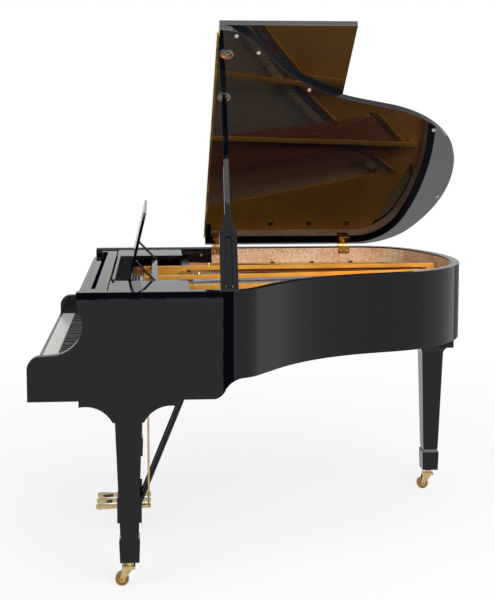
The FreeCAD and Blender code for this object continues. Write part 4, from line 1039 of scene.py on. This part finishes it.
@dataclass(frozen=True)
class LidTrim:
    """Screws of the lid's hinges, on the case and on the open lid, in millimetres.

    Spots give X and Z, on the case and on the closed lid, and the screws stand on both sides of each hinge's
    middle.
    """

    axis: tuple[float, float] = (-757.0, 1012.5)
    open_deg: float = 34.6
    hinge_places: tuple[float, float] = (700.0, 1267.0)
    screw_reach: float = 14.0
    case_spot: tuple[float, float] = (-714.0, 990.0)
    lid_spot: tuple[float, float] = (-702.0, 1013.0)
    head_radius: float = 3.6
    head_height: float = 1.3

    def opened(self, points: np.ndarray) -> np.ndarray:
        """Turns points of the closed lid to the open lid, about the hinge line.

        Args:
            points: Points on the closed lid.

        Returns:
            The same points on the open lid.
        """
        angle = math.radians(self.open_deg)
        across = points[:, 0] - self.axis[0]
        up = points[:, 2] - self.axis[1]
        return np.stack([self.axis[0] + across * math.cos(angle) - up * math.sin(angle), points[:, 1],
                         self.axis[1] + across * math.sin(angle) + up * math.cos(angle)], axis=1)

    def build(self) -> None:
        """Puts two screws in every hinge leaf."""
        head = slotted_head(self.head_radius * MM, self.head_height * MM)
        lines = [y + side * self.screw_reach for y in self.hinge_places for side in (-1, 1)]
        case, lid = (np.array([[x, y, z] for y in lines]) for x, z in (self.case_spot, self.lid_spot))
        inward = np.tile([1.0, 0.0, 0.0], (len(case), 1))
        piece("case_leaf_screws", repeated(head, place(case), facing(inward)), BRASS, Slot.BRASS)
        angle = math.radians(self.open_deg)
        down = np.tile([math.sin(angle), 0.0, -math.cos(angle)], (len(lid), 1))
        heads = repeated(head, place(self.opened(lid)), facing(down))
        piece("lid_leaf_screws", heads, BRASS, Slot.BRASS, Body.LID)


@dataclass(frozen=True)
class CaseOutline:
    """The case seen from above, in millimetres and degrees, walked from the treble arm round to the bass arm.

    A pair is an arc's radius and its turn, which is positive to the left. The straight after the bend is as
    long as the case's width asks for, and the last corner turns what is left to a full about-turn.
    """

    half_width: float = 750.0
    treble_side: float = 648.0
    bend: tuple[float, float] = (136.4, 54.0)
    waist: tuple[float, float] = (690.5, -37.4)
    tail_run: float = 110.7
    shoulder: tuple[float, float] = (463.4, 62.2)
    tail: tuple[float, float] = (835.2, 39.3)
    corner_radius: float = 259.4
    samples: int = 61

    def walk(self, run: float) -> tuple[np.ndarray, np.ndarray]:
        """Walks the outline: an arc's point is its centre plus the radius times (cos a, sin a) of its spoke.

        Args:
            run: Length of the straight after the bend.

        Returns:
            Points along the outline and the heading at each of them in degrees.
        """
        turned = self.bend[1] + self.waist[1] + self.shoulder[1] + self.tail[1]
        steps = ((self.treble_side, 0.0), self.bend, (run, 0.0), self.waist, (self.tail_run, 0.0),
                 self.shoulder, self.tail, (self.corner_radius, 180.0 - turned))
        share = np.linspace(0.0, 1.0, self.samples)
        spots, headings = [np.array([[self.half_width, 0.0]])], [np.array([90.0])]
        for size, turn in steps:
            heading = headings[-1][-1] + turn * share
            if turn:
                spoke = np.radians(heading) - np.pi / 2
                arc = math.copysign(size, turn) * np.stack([np.cos(spoke), np.sin(spoke)], axis=1)
                moves = arc - arc[0]
            else:
                ahead = math.radians(heading[0])
                moves = size * share[:, None] * np.array([math.cos(ahead), math.sin(ahead)])
            spots.append(spots[-1][-1] + moves)
            headings.append(heading)
        spine = spots[-1][-1] * np.stack([np.ones_like(share), 1.0 - share], axis=1)
        return np.concatenate(spots + [spine]), np.concatenate(headings + [np.full(self.samples, 270.0)])

    def inset(self, distance: float) -> np.ndarray:
        """Moves the outline inward: each point goes along the normal to the left of its heading.

        Args:
            distance: How far.

        Returns:
            Points along the inner line.
        """
        spare = self.walk(0.0)[0][-1, 0] + self.half_width
        spots, headings = self.walk(spare / math.sin(math.radians(self.bend[1])))
        inward = np.radians(headings + 90.0)
        return spots + distance * np.stack([np.cos(inward), np.sin(inward)], axis=1)


@dataclass(frozen=True)
class CaseTrim:
    """Screws in the cheeks' rails, bolts of the plate and its struts, and the music ledge's cloth.

    Sizes are in millimetres. The ledge gives its lowest corner and the cloth its width, depth and thickness.
    """

    rail_screws: tuple[tuple[float, float, float], ...] = (
        (-672.0, 624.0, 979.0), (-672.0, 470.0, 979.0), (672.0, 590.0, 979.0), (672.0, 470.0, 979.0))
    head_radius: float = 4.2
    head_height: float = 1.6
    strut_top: float = 980.6
    nose_bolts: tuple[tuple[float, float], ...] = ((54.0, 586.0), (-256.0, 640.0))
    nut: Profile = ((8.0, 0.0), (8.0, 1.6), (6.2, 1.7), (6.2, 7.0), (5.4, 9.5), (3.4, 11.6), (1.2, 12.4))
    plate_top: float = 940.0
    outline: CaseOutline = CaseOutline()
    bolt_inset: float = 64.0
    bolt_spacing: float = 165.0
    bolt_start: float = 430.0
    cheek_end: float = 650.0
    open_corner: tuple[float, float] = (-380.0, 1300.0)
    cheek_bolts: tuple[tuple[float, float], tuple[float, float]] = ((668.0, 432.0), (-673.0, 592.0))
    washer: Profile = ((13.0, 0.0), (13.0, 1.5), (12.0, 2.2))
    hexagon: Profile = ((9.5, 2.2), (9.5, 7.2), (8.2, 8.6))
    round_sides: int = 24
    ledge: tuple[float, float, float] = (-420.0, 277.0, 1006.0)
    cloth: tuple[float, float, float] = (840.0, 49.0, 1.2)

    def bolt_spots(self) -> np.ndarray:
        """Spaces the plate's bolts on a line inside the case, each at the first sample past the spacing.

        The plate's open corner gets none, and those beside the cheeks are given one by one.

        Returns:
            One point on the plate for each bolt, to the whole millimetre.
        """
        line = self.outline.inset(self.bolt_inset)
        run = np.append(0.0, np.cumsum(np.linalg.norm(np.diff(line, axis=0), axis=1)))
        corner = (line[:, 0] < self.open_corner[0]) & (line[:, 1] > self.open_corner[1])
        free = (line[:, 1] > self.bolt_start) & ~corner
        chosen, last = [], 0.0
        while np.any(free & (run > last + self.bolt_spacing)):
            chosen.append(np.argmax(free & (run > last + self.bolt_spacing)))
            last = run[chosen[-1]]
        behind = np.round(line[[index for index in chosen if line[index, 1] > self.cheek_end]])
        first, final = self.cheek_bolts
        spots = np.concatenate([[first], behind, [final]])
        return np.column_stack([spots, np.full(len(spots), self.plate_top)])

    def build(self) -> None:
        """Builds the screws, the bolts and the cloth."""
        head = slotted_head(self.head_radius * MM, self.head_height * MM)
        spots = np.array(self.rail_screws)
        inward = np.stack([-np.sign(spots[:, 0]), 0 * spots[:, 0], 0 * spots[:, 0]], axis=1)
        piece("cheek_panel_screws", repeated(head, place(spots), facing(inward)), BRASS, Slot.BRASS)
        feet = place([(x, y, self.strut_top) for x, y in self.nose_bolts])
        piece("nose_bolts", repeated(lathe(self.nut, self.round_sides), feet), BRASS, Slot.BRASS)
        feet = place(self.bolt_spots())
        piece("plate_bolt_washers", repeated(lathe(self.washer, self.round_sides), feet), BRASS, Slot.BRASS)
        piece("plate_bolt_heads", repeated(lathe(self.hexagon, 6), feet), BLUED, Slot.PIN, smooth=False)
        wide, deep, thick = (size * MM for size in self.cloth)
        sheet = soft_sheet(place(self.ledge), (wide, deep), thick)
        piece("music_ledge_baize", sheet, BAIZE, Slot.FELT, Body.DESK)


@dataclass(frozen=True)
class Softbox:
    """A square soft lamp that looks at a target, in metres, watts and degrees."""

    name: str
    spot: tuple[float, float, float]
    target: tuple[float, float, float]
    size: float
    power: float
    spread_deg: float = 180.0

    def build(self) -> None:
        """Hangs the lamp."""
        data = bpy.data.lights.new(self.name, "AREA")
        data.size = self.size
        data.energy = self.power
        data.spread = math.radians(self.spread_deg)
        lamp = shown(self.name, data)
        lamp.location = self.spot
        lamp.rotation_euler = (Vector(self.target) - Vector(self.spot)).to_track_quat("-Z", "Y").to_euler()


@dataclass(frozen=True)
class Card:
    """A curved studio card that only mirrors see, so that it draws a stripe in the lacquer.

    It stands on an arc about the bend of the rim: its angles run from the treble side towards the tail, its
    radius and height are in metres, and its shade is a linear grey.
    """

    name: str
    angles_deg: tuple[float, float]
    radius: float
    shade: float
    height: float = 1.7
    centre: tuple[float, float] = (0.75, -0.17)
    points: int = 12

    def build(self) -> None:
        """Stands the card: its foot at angle a is the centre plus the radius times (cos a, sin a)."""
        angles = np.radians(np.linspace(*self.angles_deg, self.points))
        foot = np.stack([self.centre[0] + self.radius * np.cos(angles),
                         self.centre[1] + self.radius * np.sin(angles), 0 * angles], axis=1)
        rows = np.arange(self.points - 1)
        faces = np.stack([rows, rows + 1, rows + 1 + self.points, rows + self.points], axis=1)
        data = bpy.data.meshes.new(self.name)
        data.from_pydata(np.concatenate([foot, foot + self.height * UP]).tolist(), [], faces.tolist())
        paint = bpy.data.materials.new(self.name)
        tree = blank_tree(paint)
        glow = add(tree, "ShaderNodeEmission", {"Color": grey(self.shade), "Strength": 1.0})
        add(tree, "ShaderNodeOutputMaterial", links={"Surface": glow.outputs[0]})
        data.materials.append(paint)
        flag = shown(self.name, data)
        flag.visible_camera = False
        flag.visible_diffuse = False
        flag.visible_transmission = False
        flag.visible_shadow = False


@dataclass(frozen=True)
class Studio:
    """Floor, world, lamps and cards: a plain white room with soft light."""

    floor_half: float = 40.0
    paper_grey: float = 0.86
    shadow_start: float = 1.2
    shadow_reach: float = 4.0
    shadow_glow: float = 0.8
    room_light: float = 0.55
    lamps: tuple[Softbox, ...] = (
        Softbox("key_softbox", (3.4, -3.2, 4.2), (0.0, 0.0, 0.8), 2.6, 85.0),
        Softbox("fill_softbox", (4.2, 2.6, 3.4), (-0.3, 0.2, 0.95), 2.4, 105.0),
        Softbox("top_softbox", (0.2, 0.4, 5.2), (0.0, 0.0, 0.9), 3.0, 60.0),
        Softbox("inside_softbox", (2.7, 0.8, 3.0), (-0.3, 0.05, 0.94), 1.2, 4.5, 50.0))
    cards: tuple[Card, ...] = (
        Card("black_flag", (2.8, 26.0), 1.48, 0.01),
        Card("grey_flag", (34.0, 130.0), 2.4, 0.85),
        Card("far_flag", (-14.0, 3.6), 7.05, 0.01),
        Card("back_card", (154.0, 215.0), 6.0, 0.62, 4.0),
        Card("tail_card", (129.0, 146.5), 2.6, 0.22))

    def build(self) -> None:
        """Builds the room."""
        bpy.context.scene.view_settings.view_transform = "Standard"
        self.floor()
        self.world()
        for item in self.lamps + self.cards:
            item.build()

    def floor(self) -> None:
        """Lays the pale floor, which keeps the shadow near the piano and turns white further out."""
        half = self.floor_half
        data = bpy.data.meshes.new("studio_floor")
        data.from_pydata([(-half, -half, 0), (half, -half, 0), (half, half, 0), (-half, half, 0)], [],
                         [(0, 1, 2, 3)])
        floor = shown("studio_floor", data)
        paper = bpy.data.materials.new("white_paper_floor")
        tree = blank_tree(paper)
        matt = add(tree, "ShaderNodeBsdfDiffuse", {"Color": grey(self.paper_grey)})
        glow = add(tree, "ShaderNodeEmission", {"Color": grey(1.0), "Strength": 1.0})
        spot = add(tree, "ShaderNodeTexCoord").outputs["Object"]
        far = add(tree, "ShaderNodeVectorMath", {"operation": "LENGTH"}, {0: spot})
        white = add(tree, "ShaderNodeMapRange",
                    {"interpolation_type": "SMOOTHSTEP", "From Min": self.shadow_start,
                     "From Max": self.shadow_reach, "To Min": self.shadow_glow},
                    {"Value": far.outputs["Value"]})
        share = add(tree, "ShaderNodeMath", {"operation": "MULTIPLY"},
                    {0: self.direct(tree), 1: white.outputs["Result"]})
        both = add(tree, "ShaderNodeMixShader",
                   links={0: share.outputs["Value"], 1: matt.outputs[0], 2: glow.outputs[0]})
        add(tree, "ShaderNodeOutputMaterial", links={"Surface": both.outputs[0]})
        data.materials.append(paper)

    def direct(self, tree: bpy.types.NodeTree) -> bpy.types.NodeSocket:
        """Tells rays from the camera, a mirror or glass from the others.

        Args:
            tree: The node tree that gets the nodes.

        Returns:
            A socket that is one for such rays.
        """
        seen = add(tree, "ShaderNodeLightPath")
        shiny = add(tree, "ShaderNodeMath", {"operation": "MAXIMUM"},
                    {0: seen.outputs["Is Glossy Ray"], 1: seen.outputs["Is Transmission Ray"]})
        return add(tree, "ShaderNodeMath", {"operation": "MAXIMUM"},
                   {0: seen.outputs["Is Camera Ray"], 1: shiny.outputs["Value"]}).outputs["Value"]

    def world(self) -> None:
        """Sets a white room that camera, mirrors and glass see, and a dimmer light on the object."""
        world = bpy.data.worlds.new("white_room")
        bpy.context.scene.world = world
        tree = blank_tree(world)
        strength = add(tree, "ShaderNodeMapRange", {"To Min": self.room_light, "To Max": 1.0},
                       {"Value": self.direct(tree)})
        glow = add(tree, "ShaderNodeBackground", {"Color": grey(1.0)},
                   {"Strength": strength.outputs["Result"]})
        add(tree, "ShaderNodeOutputWorld", links={"Surface": glow.outputs[0]})


@dataclass(frozen=True)
class PhotoCamera:
    """The camera at the photograph's place and angle, for a frame of 495 by 600."""

    spot_mm: tuple[float, float, float] = (4652.0, 412.9, 1535.9)
    yaw_deg: float = 4.476
    pitch_deg: float = 5.806
    focal_px: float = 1209.0
    frame_px: tuple[int, int] = (495, 600)
    sensor_mm: float = 36.0
    shift_y: float = -0.08

    def build(self) -> None:
        """Makes the camera and hands it to the scene."""
        yaw, pitch = math.radians(self.yaw_deg), math.radians(self.pitch_deg)
        ahead = Vector((-math.cos(yaw) * math.cos(pitch), math.sin(yaw) * math.cos(pitch), -math.sin(pitch)))
        data = bpy.data.cameras.new("photo_camera")
        data.sensor_width = self.sensor_mm
        data.lens = self.sensor_mm * self.focal_px / max(self.frame_px)
        data.shift_y = self.shift_y
        camera = shown("photo_camera", data)
        camera.location = Vector(place(self.spot_mm))
        camera.rotation_euler = ahead.to_track_quat("-Z", "Y").to_euler()
        bpy.context.scene.camera = camera


def main() -> None:
    """Builds the looks in order."""
    logging.basicConfig(level=logging.INFO)
    PhotoCamera().build()
    Studio().build()
    dress_parts()
    StringTrim().build()
    LidTrim().build()
    CaseTrim().build()


if __name__ == "__main__":
    main()
